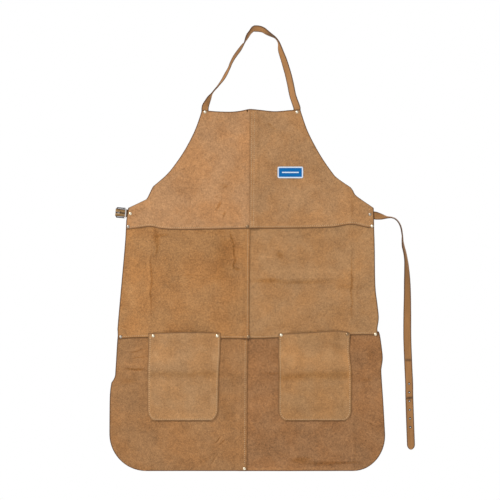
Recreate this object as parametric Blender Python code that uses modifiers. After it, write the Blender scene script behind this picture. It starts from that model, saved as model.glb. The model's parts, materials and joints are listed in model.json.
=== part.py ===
"""Split-leather welding apron: a bib, a waist row and a skirt row of lapped panels, two pockets, a riveted
neck strap, a riveted waist strap and a buckle on a leather tab. Metres, +Z up, the front faces -Y. The apron
hangs from its neck strap, and the world origin is where the strap's underside rests on its peg.
Sizes and places below are in millimetres: x from the apron's centre line, y back from the panels' plane, z up
from the hem. world() turns them into metres in the hanging frame."""

import math

import bmesh
import bpy
from mathutils import Matrix, Vector

MM = 0.001

# Leather
THICK = 1.5  # every leather sheet
GAP = 0.3  # between sheets that touch
PITCH = THICK + GAP  # from one sheet of a stack to the next
LAP = 18  # how far one panel reaches under its neighbour
SEAM_RAMP = 14  # over which a sheet climbs onto the ones under it

# Peg: the middle of the neck strap's flat top
PEG_X, PEG_Z = 14, 1105.6
APEX_TWIST = -32  # degrees from face-on; the near edge is up, as on a rising coat hook
APEX_FLAT = 6  # length of the flat stretch on the peg

# Seams
BIB_EDGE_Z = 606  # lower cut edge of the bib
HINGE_GAP = 4  # between the bib and the waist row, where the skirt folds
SKIRT_SEAM_Z = 331  # lower cut edge of the waist row
BIB_CENTRE_X, WAIST_CENTRE_X, SKIRT_CENTRE_X = -1, -1, -7  # cut edges of the centre seams
TOP_Z = 903
SKIRT_TOP_Z = SKIRT_SEAM_Z + LAP
WAIST_TOP_Z = BIB_EDGE_Z - HINGE_GAP

# Side outlines, top to bottom
BIB_LEFT_SIDE = [(-120, 903), (-137, 854), (-161, 806), (-188, 765), (-210, 739), (-243, 711), (-258, 681),
                 (-304, 658), (-309, 629), (-310.5, BIB_EDGE_Z)]
BIB_RIGHT_SIDE = [(126, 903), (147, 844), (176, 790), (204, 748), (219, 732), (255, 706), (265, 689),
                  (309, 658), (310, BIB_EDGE_Z)]
WAIST_LEFT_SIDE = [(-310.5, WAIST_TOP_Z), (-314, 552), (-330, 373), (-330, SKIRT_SEAM_Z)]
WAIST_RIGHT_SIDE = [(310, WAIST_TOP_Z), (313.5, 464), (322, 384), (320, SKIRT_SEAM_Z)]
SKIRT_LEFT_SIDE = [(-330, SKIRT_TOP_Z), (-338, 233), (-347, 220), (-351.5, 94)]
SKIRT_RIGHT_SIDE = [(322, SKIRT_TOP_Z), (332, 281), (328, 244), (338, 94)]
HEM_RADIUS_LEFT, HEM_RADIUS_RIGHT = 85, 75

# Pockets: left, right, bottom, top
POCKET_LEFT = (-256, -77, 125, 345)
POCKET_RIGHT = (72, 251, 125, 346)
POCKET_RADIUS = 19
POCKET_DEPTH = 8
POCKET_FLANGE = 19
POCKET_RISE = 27

# Label
LABEL = (69, 133, 732, 761)
LABEL_RADIUS = 4
LABEL_THICK = 0.8

# Rivets
CAP_RADIUS = 4
CAP_HEIGHT = 1.6
REAR_CAP_SHARE = 0.75  # the rear cap is flatter
POST_RADIUS = 1.5
HOLE_RADIUS = 1.8
RIVET_SIDES = 12
CUTTER_LENGTH = 60

# Neck strap: x, y, z and twist from face-on, in degrees, hand-laid from each bib corner up to the peg
NECK_WIDTH = 18
NECK_HINGE_Z = 906
NECK_END_Z = 881
HINGE_SLIT = 2  # between a strap and its riveted end
NECK_END_X = (-112.5, 117.5)
NECK_LEFT = [(-112.5, 1.8, 907, 0), (-112, 2.4, 914, -6), (-109, 4, 922, -22), (-103.5, 5, 933, -54),
             (-96.5, 4.3, 942, -78), (-90, 3, 950, -97), (-82, 1, 961, -108), (-70, -2, 977, -115),
             (-61.5, -4, 990, -121), (-52, -5, 1007, -125), (-45, -4.5, 1020, -125), (-36, -3, 1036, -121),
             (-26, -1, 1052, -113), (-18.5, 0.3, 1064.5, -101), (-13.8, 0.8, 1073.5, -83),
             (-8.5, 1, 1082.5, -74), (-4, 1, 1090, -68), (1.5, 0.8, 1097, -65)]
NECK_RIGHT = [(25, 0.5, 1105, -36), (33.5, 0.3, 1102, -45), (43, 0, 1096, -58), (53, 0, 1089.5, -72),
              (62, 1, 1082, -88), (70, 2, 1072, -84), (77, 3, 1056, -54), (84.5, 4, 1029, -35),
              (90.5, 5, 1009, -28), (96, 5.5, 990, -24), (101.5, 5, 966, -20), (107, 4, 941, -14),
              (113, 3, 924, -8), (117, 2.2, 913, -2), (117.5, 1.8, 907, 0)]
STRAP_STEP = 9  # spacing of the straps' cross-sections

# Waist strap
WAIST_WIDTH = 20
STRAP_HINGE_X = 312
STRAP_END = [(287, 1.8, 641.5, 0), (311, 1.8, 639, 0)]
WAIST_STRAP = [(313, 1.8, 638.6, 0), (320, 2.2, 637.5, 22), (331, 2.8, 636, 48), (342, 3, 635, 74),
               (352.5, 3, 634, 88), (362.5, 3, 631, 90), (371.5, 3, 622.5, 90), (378, 3, 608, 90),
               (381, 3, 588, 90), (383.5, 2.8, 562, 88), (387, 2.5, 545, 65), (389.5, 2.5, 532, 38),
               (391.5, 2.5, 514, 14), (393, 2.5, 490, 3), (393, 2.5, 440, 0), (393, 2.5, 390, 0),
               (393.5, 2.5, 330, 0), (396, 2.5, 263, 0), (398, 2.5, 218, 0), (398.5, 2.5, 183, 0),
               (401, 2.5, 107, 0), (403, 2.5, 53, 0)]
TIP_LENGTH = 14
TIP_WIDTH = 4
HOLE_COUNT = 6
HOLE_TOP_Z = 218
HOLE_SPACING = 21.8
STRAP_HOLE_RADIUS = 2

# Buckle, in the tab's own frame: x left of the rivet is negative
TAB_RIVET = (-299, 643.5)
BUCKLE_TILT = 5  # degrees about +Y, the top leaning to +X
HINGE_BAR = (-34.5, 2.7)  # x and y of the bar that the tab is folded round
FREE_BAR = (-11.9, -2.75)  # the bar that the prong rests on; the frame lies folded back over the tab
FRAME_BOW = [(-32.6, 1.2), (-29.5, -1.4), (-26.5, -2.6), (-20, -2.75)]  # its sides, from bar to bar
BUCKLE_HEIGHT = 26.5
BAR_RADIUS = 1.4
BAR_CORNER = 2.4
TAB_WIDTH = 19.4
TAB_REACH = 12
PRONG_RADIUS = 0.9
PRONG_Y = -0.15
PRONG_TIP_X = -11.2
SLOT_LENGTH, SLOT_DEPTH, SLOT_WIDTH = 14, 14, 4.4


def world(x, y, z):
    return Vector((x - PEG_X, y, z - PEG_Z)) * MM


TILT = Matrix.Rotation(math.radians(BUCKLE_TILT), 3, "Y")


def tab_world(x, y, z):
    """A point of the tab's own frame, whose origin is its rivet in the panels' plane."""
    turned = TILT @ Vector((x, y, z))
    return world(TAB_RIVET[0] + turned.x, turned.y, TAB_RIVET[1] + turned.z)


# Every moving body's pivot, and the body that it hangs on
STRAP_RIVET = (300, 641.5)
PIVOTS = {
    "neck_strap": (None, Vector((0, 0, 0))),
    "bib": ("neck_strap", world(0, PITCH, NECK_HINGE_Z)),
    "skirt": ("bib", world(0, -PITCH - THICK / 2 - GAP, BIB_EDGE_Z - HINGE_GAP / 2)),
    "strap_end": ("bib", world(STRAP_RIVET[0], PITCH, STRAP_RIVET[1])),
    "waist_strap": ("strap_end", world(STRAP_HINGE_X, PITCH, STRAP_RIVET[1])),
    "buckle_tab": ("bib", world(TAB_RIVET[0], PITCH, TAB_RIVET[1])),
    "buckle": ("buckle_tab", tab_world(*HINGE_BAR, 0)),
    "prong": ("buckle", tab_world(*HINGE_BAR, 0)),
}


def clear_scene():
    for obj in list(bpy.data.objects):
        bpy.data.objects.remove(obj, do_unlink=True)


def new_collection(name, hidden=False):
    made = bpy.data.collections.new(name)
    bpy.context.scene.collection.children.link(made)
    made.hide_render = hidden
    return made


def make_pivots(collection):
    """An empty on each joint's axis, parented as the bodies are."""
    made = {}
    for body, (parent, place) in PIVOTS.items():
        empty = bpy.data.objects.new(body + "_pivot", None)
        empty.empty_display_size = 0.01
        collection.objects.link(empty)
        empty.location = place
        if parent:
            empty.parent = made[parent]
            empty.location = place - PIVOTS[parent][1]
        made[body] = empty
    return made


def material(name, colour, roughness, metallic=0.0):
    made = bpy.data.materials.new(name)
    made.use_nodes = True
    shader = made.node_tree.nodes["Principled BSDF"]
    shader.inputs["Base Color"].default_value = (*colour, 1)
    shader.inputs["Roughness"].default_value = roughness
    shader.inputs["Metallic"].default_value = metallic
    made.diffuse_color = (*colour, 1)
    return made


LEATHER_ROUGHNESS = 0.85
COLOURS = {
    "bib": (0.45, 0.25, 0.12),
    "waist_left": (0.44, 0.22, 0.08),
    "waist_right": (0.43, 0.25, 0.11),
    "skirt": (0.34, 0.19, 0.08),
    "pocket": (0.45, 0.26, 0.12),
    "strap": (0.40, 0.18, 0.055),
    "label": (0.08, 0.25, 0.55),
    "nickel": (0.72, 0.71, 0.69),
}


def finish(obj, body, colour, smooth=False):
    """Moves the mesh's origin onto its body's pivot, parents it there and gives it its own material."""
    pivot = PIVOTS[body][1]
    obj.data.transform(Matrix.Translation(-pivot))
    obj.parent = PIVOT_EMPTIES[body]
    PARTS.objects.link(obj)
    if colour == "nickel":
        obj.data.materials.append(material(obj.name + "_nickel", COLOURS[colour], 0.25, 1.0))
    elif colour == "label":
        obj.data.materials.append(material(obj.name + "_woven", COLOURS[colour], 0.7))
    else:
        obj.data.materials.append(material(obj.name + "_leather", COLOURS[colour], LEATHER_ROUGHNESS))
    if smooth:
        obj.data.shade_smooth()
        obj.data.set_sharp_from_angle(angle=math.radians(40))
    return obj


def mesh_object(name, bm):
    bmesh.ops.recalc_face_normals(bm, faces=bm.faces)
    mesh = bpy.data.meshes.new(name)
    bm.to_mesh(mesh)
    bm.free()
    return bpy.data.objects.new(name, mesh)


def arc(cx, cz, radius, start, end, steps=6):
    """Points on a circle, angles in degrees from +x towards +z."""
    made = []
    for i in range(steps + 1):
        angle = math.radians(start + (end - start) * i / steps)
        made.append((cx + radius * math.cos(angle), cz + radius * math.sin(angle)))
    return made


def ramp(value, low, high):
    return min(1, max(0, (value - low) / (high - low)))


def smooth_ramp(value, low, high):
    t = ramp(value, low, high)
    return t * t * (3 - 2 * t)


# How many sheets lie under each panel at a point
X_STEP = 6
SKIRT_LAP_X = SKIRT_CENTRE_X - LAP - 1
WAIST_LAP_X = WAIST_CENTRE_X - LAP - 1
BIB_LAP_X = BIB_CENTRE_X + LAP + 1
SEAM_LOW_Z = SKIRT_TOP_Z + 1
SEAM_HIGH_Z = SEAM_LOW_Z + SEAM_RAMP


def over_skirt(z):
    return 1 - ramp(z, SEAM_LOW_Z, SEAM_HIGH_Z)


def skirt_left_level(x, z):
    return ramp(x, SKIRT_LAP_X - X_STEP, SKIRT_LAP_X)


def waist_right_level(x, z):
    return over_skirt(z) * (2 - ramp(x, SKIRT_CENTRE_X + 1, SKIRT_CENTRE_X + 1 + 2 * X_STEP))


def waist_left_level(x, z):
    crossing = over_skirt(z) * (1 + ramp(x, SKIRT_LAP_X - X_STEP, SKIRT_LAP_X))
    return crossing + ramp(x, WAIST_LAP_X - X_STEP, WAIST_LAP_X)


def bib_right_level(x, z):
    return 1 - ramp(x, BIB_LAP_X, BIB_LAP_X + X_STEP)


def flat_level(x, z):
    return 0


def sheet(name, outline, depth, x_cuts, z_cuts, body, colour, thick=THICK, holes=True):
    """A leather sheet: its outline, cut wherever its depth changes, laid at that depth and thickened."""
    bm = bmesh.new()
    bm.faces.new([bm.verts.new((x, 0, z)) for x, z in outline])
    for normal, places in (((1, 0, 0), x_cuts), ((0, 0, 1), z_cuts)):
        for place in sorted(set(places)):
            geometry = list(bm.verts) + list(bm.edges) + list(bm.faces)
            bmesh.ops.bisect_plane(bm, geom=geometry, plane_co=Vector(normal) * place, plane_no=normal)
    bmesh.ops.triangulate(bm, faces=bm.faces)
    behind = bmesh.ops.extrude_face_region(bm, geom=list(bm.faces))["geom"]
    back = {v for v in behind if isinstance(v, bmesh.types.BMVert)}
    for vert in bm.verts:
        x, z = vert.co.x, vert.co.z
        vert.co = world(x, depth(x, z) + (thick / 2 if vert in back else -thick / 2), z)
    obj = finish(mesh_object(name, bm), body, colour)
    if holes:
        punch(obj, RIVET_HOLES)
    return obj


def punch(obj, collection):
    cut = obj.modifiers.new("rivet_holes", "BOOLEAN")
    cut.operation = "DIFFERENCE"
    cut.solver = "EXACT"
    cut.operand_type = "COLLECTION"
    cut.collection = collection


def panel(name, outline, level, x_cuts, z_cuts, body, colour):
    return sheet(name, outline, lambda x, z: -PITCH * level(x, z), x_cuts, z_cuts, body, colour)


def bib_panels():
    left = [(BIB_CENTRE_X + LAP, TOP_Z), *BIB_LEFT_SIDE, (BIB_CENTRE_X + LAP, BIB_EDGE_Z)]
    panel("bib_panel_left", left, flat_level, [], [], "bib", "bib")
    right = [(BIB_CENTRE_X, TOP_Z), *BIB_RIGHT_SIDE, (BIB_CENTRE_X, BIB_EDGE_Z)]
    panel("bib_panel_right", right, bib_right_level, [BIB_LAP_X, BIB_LAP_X + X_STEP], [], "bib", "bib")


def waist_panels():
    z_cuts = [SEAM_LOW_Z, SEAM_HIGH_Z]
    right = [(WAIST_CENTRE_X - LAP, WAIST_TOP_Z), *WAIST_RIGHT_SIDE, (WAIST_CENTRE_X - LAP, SKIRT_SEAM_Z)]
    x_cuts = [SKIRT_CENTRE_X + 1, SKIRT_CENTRE_X + 1 + 2 * X_STEP]
    panel("waist_panel_right", right, waist_right_level, x_cuts, z_cuts, "skirt", "waist_right")
    left = [(WAIST_CENTRE_X, WAIST_TOP_Z), *WAIST_LEFT_SIDE, (WAIST_CENTRE_X, SKIRT_SEAM_Z)]
    x_cuts = [SKIRT_LAP_X - X_STEP, SKIRT_LAP_X, WAIST_LAP_X - X_STEP, WAIST_LAP_X]
    panel("waist_panel_left", left, waist_left_level, x_cuts, z_cuts, "skirt", "waist_left")


def skirt_panels():
    r, edge = HEM_RADIUS_RIGHT, SKIRT_RIGHT_SIDE[-1][0]
    corner = arc(edge - r, r, r, 0, -90)
    right = [(SKIRT_CENTRE_X - LAP, SKIRT_TOP_Z), *SKIRT_RIGHT_SIDE, *corner, (SKIRT_CENTRE_X - LAP, 0)]
    panel("skirt_panel_right", right, flat_level, [], [], "skirt", "skirt")
    r, edge = HEM_RADIUS_LEFT, SKIRT_LEFT_SIDE[-1][0]
    corner = arc(edge + r, r, r, 180, 270)
    left = [(SKIRT_CENTRE_X, SKIRT_TOP_Z), *SKIRT_LEFT_SIDE, *corner, (SKIRT_CENTRE_X, 0)]
    x_cuts = [SKIRT_LAP_X - X_STEP, SKIRT_LAP_X]
    panel("skirt_panel_left", left, skirt_left_level, x_cuts, [], "skirt", "skirt")


def pocket(name, box):
    """A dished sheet sewn down on three sides, with its mouth open at the top."""
    left, right, bottom, top = box
    r = POCKET_RADIUS
    corners = arc(left + r, bottom + r, r, 180, 270) + arc(right - r, bottom + r, r, 270, 360)
    outline = [(right, top), (left, top), *corners]

    def depth(x, z):
        inward = min(x - left, right - x)
        rise = smooth_ramp(inward, POCKET_FLANGE, POCKET_FLANGE + POCKET_RISE)
        rise *= smooth_ramp(z - bottom, POCKET_FLANGE, POCKET_FLANGE + POCKET_RISE)
        return -2 * PITCH - POCKET_DEPTH * rise

    steps = [POCKET_FLANGE + POCKET_RISE * i / 3 for i in range(4)]
    x_cuts = [left + s for s in steps] + [right - s for s in steps]
    z_cuts = [bottom + s for s in steps]
    sheet(name, outline, depth, x_cuts, z_cuts, "skirt", "pocket")


def label():
    left, right, bottom, top = LABEL
    r = LABEL_RADIUS
    outline = []
    for cx, cz, start in ((right - r, top - r, 0), (left + r, top - r, 90), (left + r, bottom + r, 180),
                          (right - r, bottom + r, 270)):
        outline += arc(cx, cz, r, start, start + 90, 3)
    y = -(THICK / 2 + GAP + LABEL_THICK / 2)
    sheet("label_patch", outline, lambda x, z: y, [], [], "bib", "label", LABEL_THICK, holes=False)


# Rivets: place, the front and back sheets that they hold, counted forwards from the panels' plane, and body
RIVETS = {
    "neck_rivet_left": (NECK_END_X[0], 897.5, 0, -1, "bib"),
    "neck_rivet_right": (NECK_END_X[1], 897.5, 0, -1, "bib"),
    "tab_rivet": (*TAB_RIVET, 0, -2, "buckle_tab"),
    "strap_rivet": (*STRAP_RIVET, 0, -1, "strap_end"),
    "waist_rivet_left": (-304.5, 611, 0, 0, "bib"),
    "waist_rivet_centre": (-6.5, 611.5, 0, 0, "bib"),
    "waist_rivet_right": (305, 612.5, 0, 0, "bib"),
    "seam_rivet_left": (-323.5, 335.5, 1, 0, "skirt"),
    "seam_rivet_centre": (-4.3, 336, 3, 0, "skirt"),
    "seam_rivet_right": (314, 342, 1, 0, "skirt"),
    "pocket_rivet_1": (-242, 338, 2, 0, "skirt"),
    "pocket_rivet_2": (-82, 338, 2, 0, "skirt"),
    "pocket_rivet_3": (78, 340, 2, 0, "skirt"),
    "pocket_rivet_4": (243, 342, 2, 0, "skirt"),
    "hem_rivet": (-14, 6, 1, 0, "skirt"),
}


def rivet(name, x, z, front, back, body):
    """A double-cap rivet: a turned profile from the front cap's crown down its post to the back cap's."""
    face = front * PITCH + THICK / 2 + GAP
    rear = back * PITCH - THICK / 2 - GAP
    dome = []
    for degrees in (0, 35, 62, 84):
        angle = math.radians(degrees)
        dome.append((math.sin(angle) * CAP_RADIUS, math.cos(angle) * CAP_HEIGHT))
    profile = [(r, face + h) for r, h in dome] + [(POST_RADIUS, face), (POST_RADIUS, rear)]
    profile += [(r, rear - REAR_CAP_SHARE * h) for r, h in reversed(dome)]
    bm = bmesh.new()
    verts = [bm.verts.new((r * MM, 0, h * MM)) for r, h in profile]
    for a, b in zip(verts, verts[1:]):
        bm.edges.new((a, b))
    mesh = bpy.data.meshes.new(name)
    bm.to_mesh(mesh)
    bm.free()
    obj = bpy.data.objects.new(name, mesh)
    obj.parent = PIVOT_EMPTIES[body]
    obj.location = world(x, 0, z) - PIVOTS[body][1]
    obj.rotation_euler = (math.radians(90), 0, 0)
    PARTS.objects.link(obj)
    mesh.materials.append(material(name + "_nickel", COLOURS["nickel"], 0.25, 1.0))
    turn = obj.modifiers.new("turn", "SCREW")
    turn.steps = turn.render_steps = RIVET_SIDES
    turn.use_merge_vertices = True
    turn.merge_threshold = 1e-5
    turn.use_smooth_shade = True


def cutter_rod(name, x, z, radius, collection, sides=10):
    """A rod through the sheets, along Y."""
    bm = bmesh.new()
    bmesh.ops.create_cone(bm, cap_ends=True, segments=sides, radius1=radius * MM, radius2=radius * MM,
                          depth=CUTTER_LENGTH * MM)
    obj = mesh_object(name, bm)
    obj.location = world(x, 0, z)
    obj.rotation_euler = (math.radians(90), 0, 0)
    hide(obj, collection)


def hide(obj, collection):
    obj.display_type = "WIRE"
    obj.hide_render = True
    collection.objects.link(obj)


def catmull(points, i, t):
    """The smooth curve through the points, t of the way from point i to the next."""
    a, b, c, d = (points[min(max(i + k, 0), len(points) - 1)] for k in (-1, 0, 1, 2))
    made = []
    for p, q, r, s in zip(a, b, c, d):
        made.append(0.5 * (2 * q + (r - p) * t + (2 * p - 5 * q + 4 * r - s) * t * t
                           + (3 * q - p - 3 * r + s) * t ** 3))
    return made


def route(points, step):
    """Evenly spread points of the smooth curve through hand-laid ones, about step apart."""
    made = []
    for i, (a, b) in enumerate(zip(points, points[1:])):
        pieces = max(1, round(math.dist(a[:3], b[:3]) / step))
        made += [catmull(points, i, k / pieces) for k in range(pieces)]
    return made + [list(points[-1])]


def section(centre, along, twist, width):
    """The four corners of a strap's cross-section. Twist 0 shows its whole width to the front."""
    flat = Vector((-along.z, 0, along.x)).normalized()
    back = flat.cross(along).normalized()
    across = flat * math.cos(math.radians(twist)) + back * math.sin(math.radians(twist))
    out = along.cross(across).normalized()
    w, t = across * width / 2, out * THICK / 2
    return [centre - w - t, centre + w - t, centre + w + t, centre - w + t]


def loft(name, rings):
    """A closed solid through rings of four corners."""
    bm = bmesh.new()
    rows = [[bm.verts.new(p) for p in ring] for ring in rings]
    for a, b in zip(rows, rows[1:]):
        for i in range(4):
            bm.faces.new((a[i], a[(i + 1) % 4], b[(i + 1) % 4], b[i]))
    bm.faces.new(rows[0])
    bm.faces.new(reversed(rows[-1]))
    bmesh.ops.triangulate(bm, faces=bm.faces)
    return mesh_object(name, bm)


def strap(name, samples, widths, body, directions):
    """A flat strap along x, y, z, twist samples. Directions fix where it points at some of them."""
    points = [Vector(s[:3]) for s in samples]
    rings = []
    for i, (point, sample) in enumerate(zip(points, samples)):
        along = (points[min(i + 1, len(points) - 1)] - points[max(i - 1, 0)]).normalized()
        if i in directions:
            along = Vector(directions[i])
        rings.append([world(*p) for p in section(point, along, sample[3], widths[i])])
    return finish(loft(name, rings), body, "strap")


def neck_strap():
    apex = strap_apex()
    left_flat = (PEG_X - APEX_FLAT / 2, apex.y, apex.z, APEX_TWIST)
    right_flat = (PEG_X + APEX_FLAT / 2, apex.y, apex.z, APEX_TWIST)
    level_in = (PEG_X - APEX_FLAT / 2 - 4.5, apex.y, apex.z - 3.1, APEX_TWIST - 20)
    level_out = (PEG_X + APEX_FLAT / 2 + 4, apex.y, apex.z - 0.3, APEX_TWIST - 1)
    left = route([*NECK_LEFT, level_in, left_flat], STRAP_STEP)
    right = route([right_flat, level_out, *NECK_RIGHT], STRAP_STEP)
    samples = left + right
    last = len(samples) - 1
    level = (1, 0, 0)
    directions = {0: (0, 0, 1), len(left) - 1: level, len(left): level, last: (0, 0, -1)}
    strap("neck_strap", samples, [NECK_WIDTH] * len(samples), "neck_strap", directions)
    for side, x in zip(("left", "right"), NECK_END_X):
        ends = [(x, PITCH, NECK_END_Z, 0), (x, PITCH, NECK_HINGE_Z - HINGE_SLIT / 2, 0)]
        end = strap("neck_strap_end_" + side, ends, [NECK_WIDTH] * 2, "bib", {})
        punch(end, RIVET_HOLES)


def strap_apex():
    """The middle of the strap's thickness above the peg, in the apron's own millimetres."""
    out = Vector((0, -math.cos(math.radians(APEX_TWIST)), math.sin(math.radians(APEX_TWIST))))
    return Vector((PEG_X, 0, PEG_Z)) - out * THICK / 2


def waist_strap():
    level = (1, 0, 0)
    end = strap("waist_strap_end", STRAP_END, [WAIST_WIDTH] * 2, "strap_end", {0: level, 1: level})
    punch(end, RIVET_HOLES)
    samples = route(WAIST_STRAP, 2 * STRAP_STEP)
    shoulder = list(samples[-1])
    shoulder[2] += TIP_LENGTH
    samples = [s for s in samples if s[2] > shoulder[2] + 2] + [shoulder, samples[-1]]
    widths = [WAIST_WIDTH] * (len(samples) - 1) + [TIP_WIDTH]
    directions = {0: level, len(samples) - 1: (0, 0, -1)}
    free = strap("waist_strap", samples, widths, "waist_strap", directions)
    for i in range(HOLE_COUNT):
        z = HOLE_TOP_Z - i * HOLE_SPACING
        x = next(a[0] + (b[0] - a[0]) * (a[2] - z) / (a[2] - b[2])
                 for a, b in zip(samples, samples[1:]) if a[2] >= z > b[2])
        cutter_rod(f"strap_hole_{i + 1}", x, z, STRAP_HOLE_RADIUS, STRAP_HOLES)
    punch(free, STRAP_HOLES)


def tube(name, points, radius, cyclic=False, sides=2):
    """A rod along the points, made a mesh with welded caps."""
    curve = bpy.data.curves.new(name, "CURVE")
    curve.dimensions = "3D"
    curve.bevel_depth = radius * MM
    curve.bevel_resolution = sides
    curve.use_fill_caps = not cyclic
    spline = curve.splines.new("POLY")
    spline.points.add(len(points) - 1)
    for spot, point in zip(spline.points, points):
        spot.co = (*point, 1)
    spline.use_cyclic_u = cyclic
    obj = bpy.data.objects.new(name, curve)
    bpy.context.scene.collection.objects.link(obj)
    graph = bpy.context.evaluated_depsgraph_get()
    mesh = bpy.data.meshes.new_from_object(obj.evaluated_get(graph))
    bpy.data.objects.remove(obj)
    bm = bmesh.new()
    bm.from_mesh(mesh)
    bmesh.ops.remove_doubles(bm, verts=bm.verts, dist=1e-6)
    made = mesh_object(name, bm)
    bpy.data.meshes.remove(mesh)
    return made


def buckle_frame():
    """One bent rod: the hinge bar, two bowed sides and the free bar, with round corners."""
    half = BUCKLE_HEIGHT / 2 - BAR_RADIUS
    reach = half - BAR_CORNER
    side = [*FRAME_BOW, (FREE_BAR[0] - BAR_CORNER, FREE_BAR[1])]
    loop = []
    for sign in (1, -1):
        corners = []
        for step in range(5):
            angle = math.radians(90 * step / 4)
            across, out = BAR_CORNER * math.sin(angle), BAR_CORNER * (1 - math.cos(angle))
            corners.append((across, out))
        hinge_end = [(HINGE_BAR[0] + out * 0.62, HINGE_BAR[1] - out * 0.5, sign * (reach + across))
                     for across, out in corners]
        middle = [(x, y, sign * half) for x, y in side]
        free_end = [(FREE_BAR[0] - out, FREE_BAR[1], sign * (reach + across)) for across, out in corners[::-1]]
        half_loop = hinge_end[:-1] + middle + free_end[1:]
        loop += half_loop if sign == 1 else half_loop[::-1]
    frame = tube("buckle_frame", [tab_world(*p) for p in loop], BAR_RADIUS, cyclic=True)
    finish(frame, "buckle", "nickel", smooth=True)


def prong():
    """An eye round the hinge bar, then a straight tongue between the tab and the frame's free bar."""
    bar_x, bar_y = HINGE_BAR
    eye = BAR_RADIUS + GAP + PRONG_RADIUS
    points = []
    for step in range(9):
        angle = math.radians(120 + 30 * step)
        points.append((bar_x + eye * math.sin(angle), bar_y - eye * math.cos(angle)))
    points += [(bar_x + 5, PRONG_Y), (bar_x + 10, PRONG_Y), (PRONG_TIP_X, PRONG_Y)]
    tongue = tube("buckle_prong", [tab_world(x, y, 0) for x, y in points], PRONG_RADIUS)
    finish(tongue, "prong", "nickel", smooth=True)


def buckle_tab():
    """A strip folded round the hinge bar, both plies riveted behind the bib, with a slot for the prong."""
    bar_x, bar_y = HINGE_BAR
    loop = BAR_RADIUS + GAP + THICK / 2
    path = [(TAB_REACH, PITCH), (bar_x + 16, PITCH), (bar_x + 9, PITCH - 0.1), (bar_x + 4, bar_y - loop + 0.5),
            (bar_x + 1, bar_y - loop)]
    for step in range(1, 8):
        angle = math.radians(22.5 * step)
        path.append((bar_x - loop * math.sin(angle), bar_y - loop * math.cos(angle)))
    path += [(bar_x + 1, bar_y + loop), (bar_x + 4, bar_y + loop - 0.5), (bar_x + 9, 2 * PITCH + 0.1),
             (bar_x + 16, 2 * PITCH), (TAB_REACH, 2 * PITCH)]
    rings = []
    for i, point in enumerate(path):
        before, after = path[max(i - 1, 0)], path[min(i + 1, len(path) - 1)]
        along = Vector((after[0] - before[0], after[1] - before[1], 0)).normalized()
        out = Vector((along.y, -along.x, 0)) * THICK / 2
        half = Vector((0, 0, TAB_WIDTH / 2))
        centre = Vector((*point, 0))
        corners = [centre - half - out, centre + half - out, centre + half + out, centre - half + out]
        rings.append([tab_world(*p) for p in corners])
    tab = finish(loft("buckle_tab", rings), "buckle_tab", "strap")
    punch(tab, RIVET_HOLES)
    bm = bmesh.new()
    bmesh.ops.create_cube(bm, size=1)
    bmesh.ops.scale(bm, vec=Vector((SLOT_LENGTH, SLOT_DEPTH, SLOT_WIDTH)) * MM, verts=bm.verts)
    slot_cutter = mesh_object("prong_slot", bm)
    slot_cutter.data.transform(TILT.to_4x4())
    slot_cutter.location = tab_world(bar_x + 2, bar_y, 0)
    hide(slot_cutter, CUTTERS)
    cut = tab.modifiers.new("prong_slot", "BOOLEAN")
    cut.operation = "DIFFERENCE"
    cut.solver = "EXACT"
    cut.object = slot_cutter


clear_scene()
PARTS = new_collection("welding_apron")
CUTTERS = new_collection("cutters", hidden=True)
RIVET_HOLES = new_collection("rivet_holes", hidden=True)
STRAP_HOLES = new_collection("strap_holes", hidden=True)
PIVOT_EMPTIES = make_pivots(PARTS)
for rivet_name, (rivet_x, rivet_z, *rest) in RIVETS.items():
    cutter_rod(rivet_name + "_hole", rivet_x, rivet_z, HOLE_RADIUS, RIVET_HOLES)
    rivet(rivet_name, rivet_x, rivet_z, *rest)
bib_panels()
waist_panels()
skirt_panels()
pocket("pocket_left", POCKET_LEFT)
pocket("pocket_right", POCKET_RIGHT)
label()
neck_strap()
waist_strap()
buckle_frame()
prong()
buckle_tab()
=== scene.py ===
"""The look of a split-leather welding apron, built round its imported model.

Shapes are worked out in the apron's own millimetres: x from its centre line, y back from the panels' plane, z up
from the hem. world() turns them into metres in the frame's axes. The front faces -Y."""

import json
import math

import bmesh
import bpy
import numpy as np
from mathutils import Matrix, Vector

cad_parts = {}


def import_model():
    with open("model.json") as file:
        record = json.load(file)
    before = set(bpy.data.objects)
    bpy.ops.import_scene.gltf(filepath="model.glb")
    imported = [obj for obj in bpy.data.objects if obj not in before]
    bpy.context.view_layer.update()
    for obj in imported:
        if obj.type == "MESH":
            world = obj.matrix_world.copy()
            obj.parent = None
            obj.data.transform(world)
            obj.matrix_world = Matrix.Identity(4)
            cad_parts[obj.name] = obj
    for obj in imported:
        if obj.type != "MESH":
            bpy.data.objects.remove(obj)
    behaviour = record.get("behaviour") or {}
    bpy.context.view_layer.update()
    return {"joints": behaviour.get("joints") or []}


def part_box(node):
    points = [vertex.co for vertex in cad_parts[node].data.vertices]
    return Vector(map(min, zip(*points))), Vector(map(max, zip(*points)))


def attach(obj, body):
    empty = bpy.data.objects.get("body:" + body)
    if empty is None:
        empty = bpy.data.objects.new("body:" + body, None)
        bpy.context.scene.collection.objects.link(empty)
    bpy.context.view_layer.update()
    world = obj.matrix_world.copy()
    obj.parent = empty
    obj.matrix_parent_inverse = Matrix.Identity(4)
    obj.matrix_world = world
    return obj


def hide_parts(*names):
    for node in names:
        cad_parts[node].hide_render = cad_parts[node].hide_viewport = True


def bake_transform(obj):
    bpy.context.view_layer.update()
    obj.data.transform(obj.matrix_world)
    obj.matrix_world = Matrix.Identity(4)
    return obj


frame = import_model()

MM = 0.001

# The apron's own zero in the frame: the hem's height, and the centre line 1 mm right of the bib's centre cut edge
CENTRE_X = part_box("bib_panel_right")[0][0] + 1 * MM
HEM_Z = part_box("skirt_panel_left")[0][2]

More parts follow.
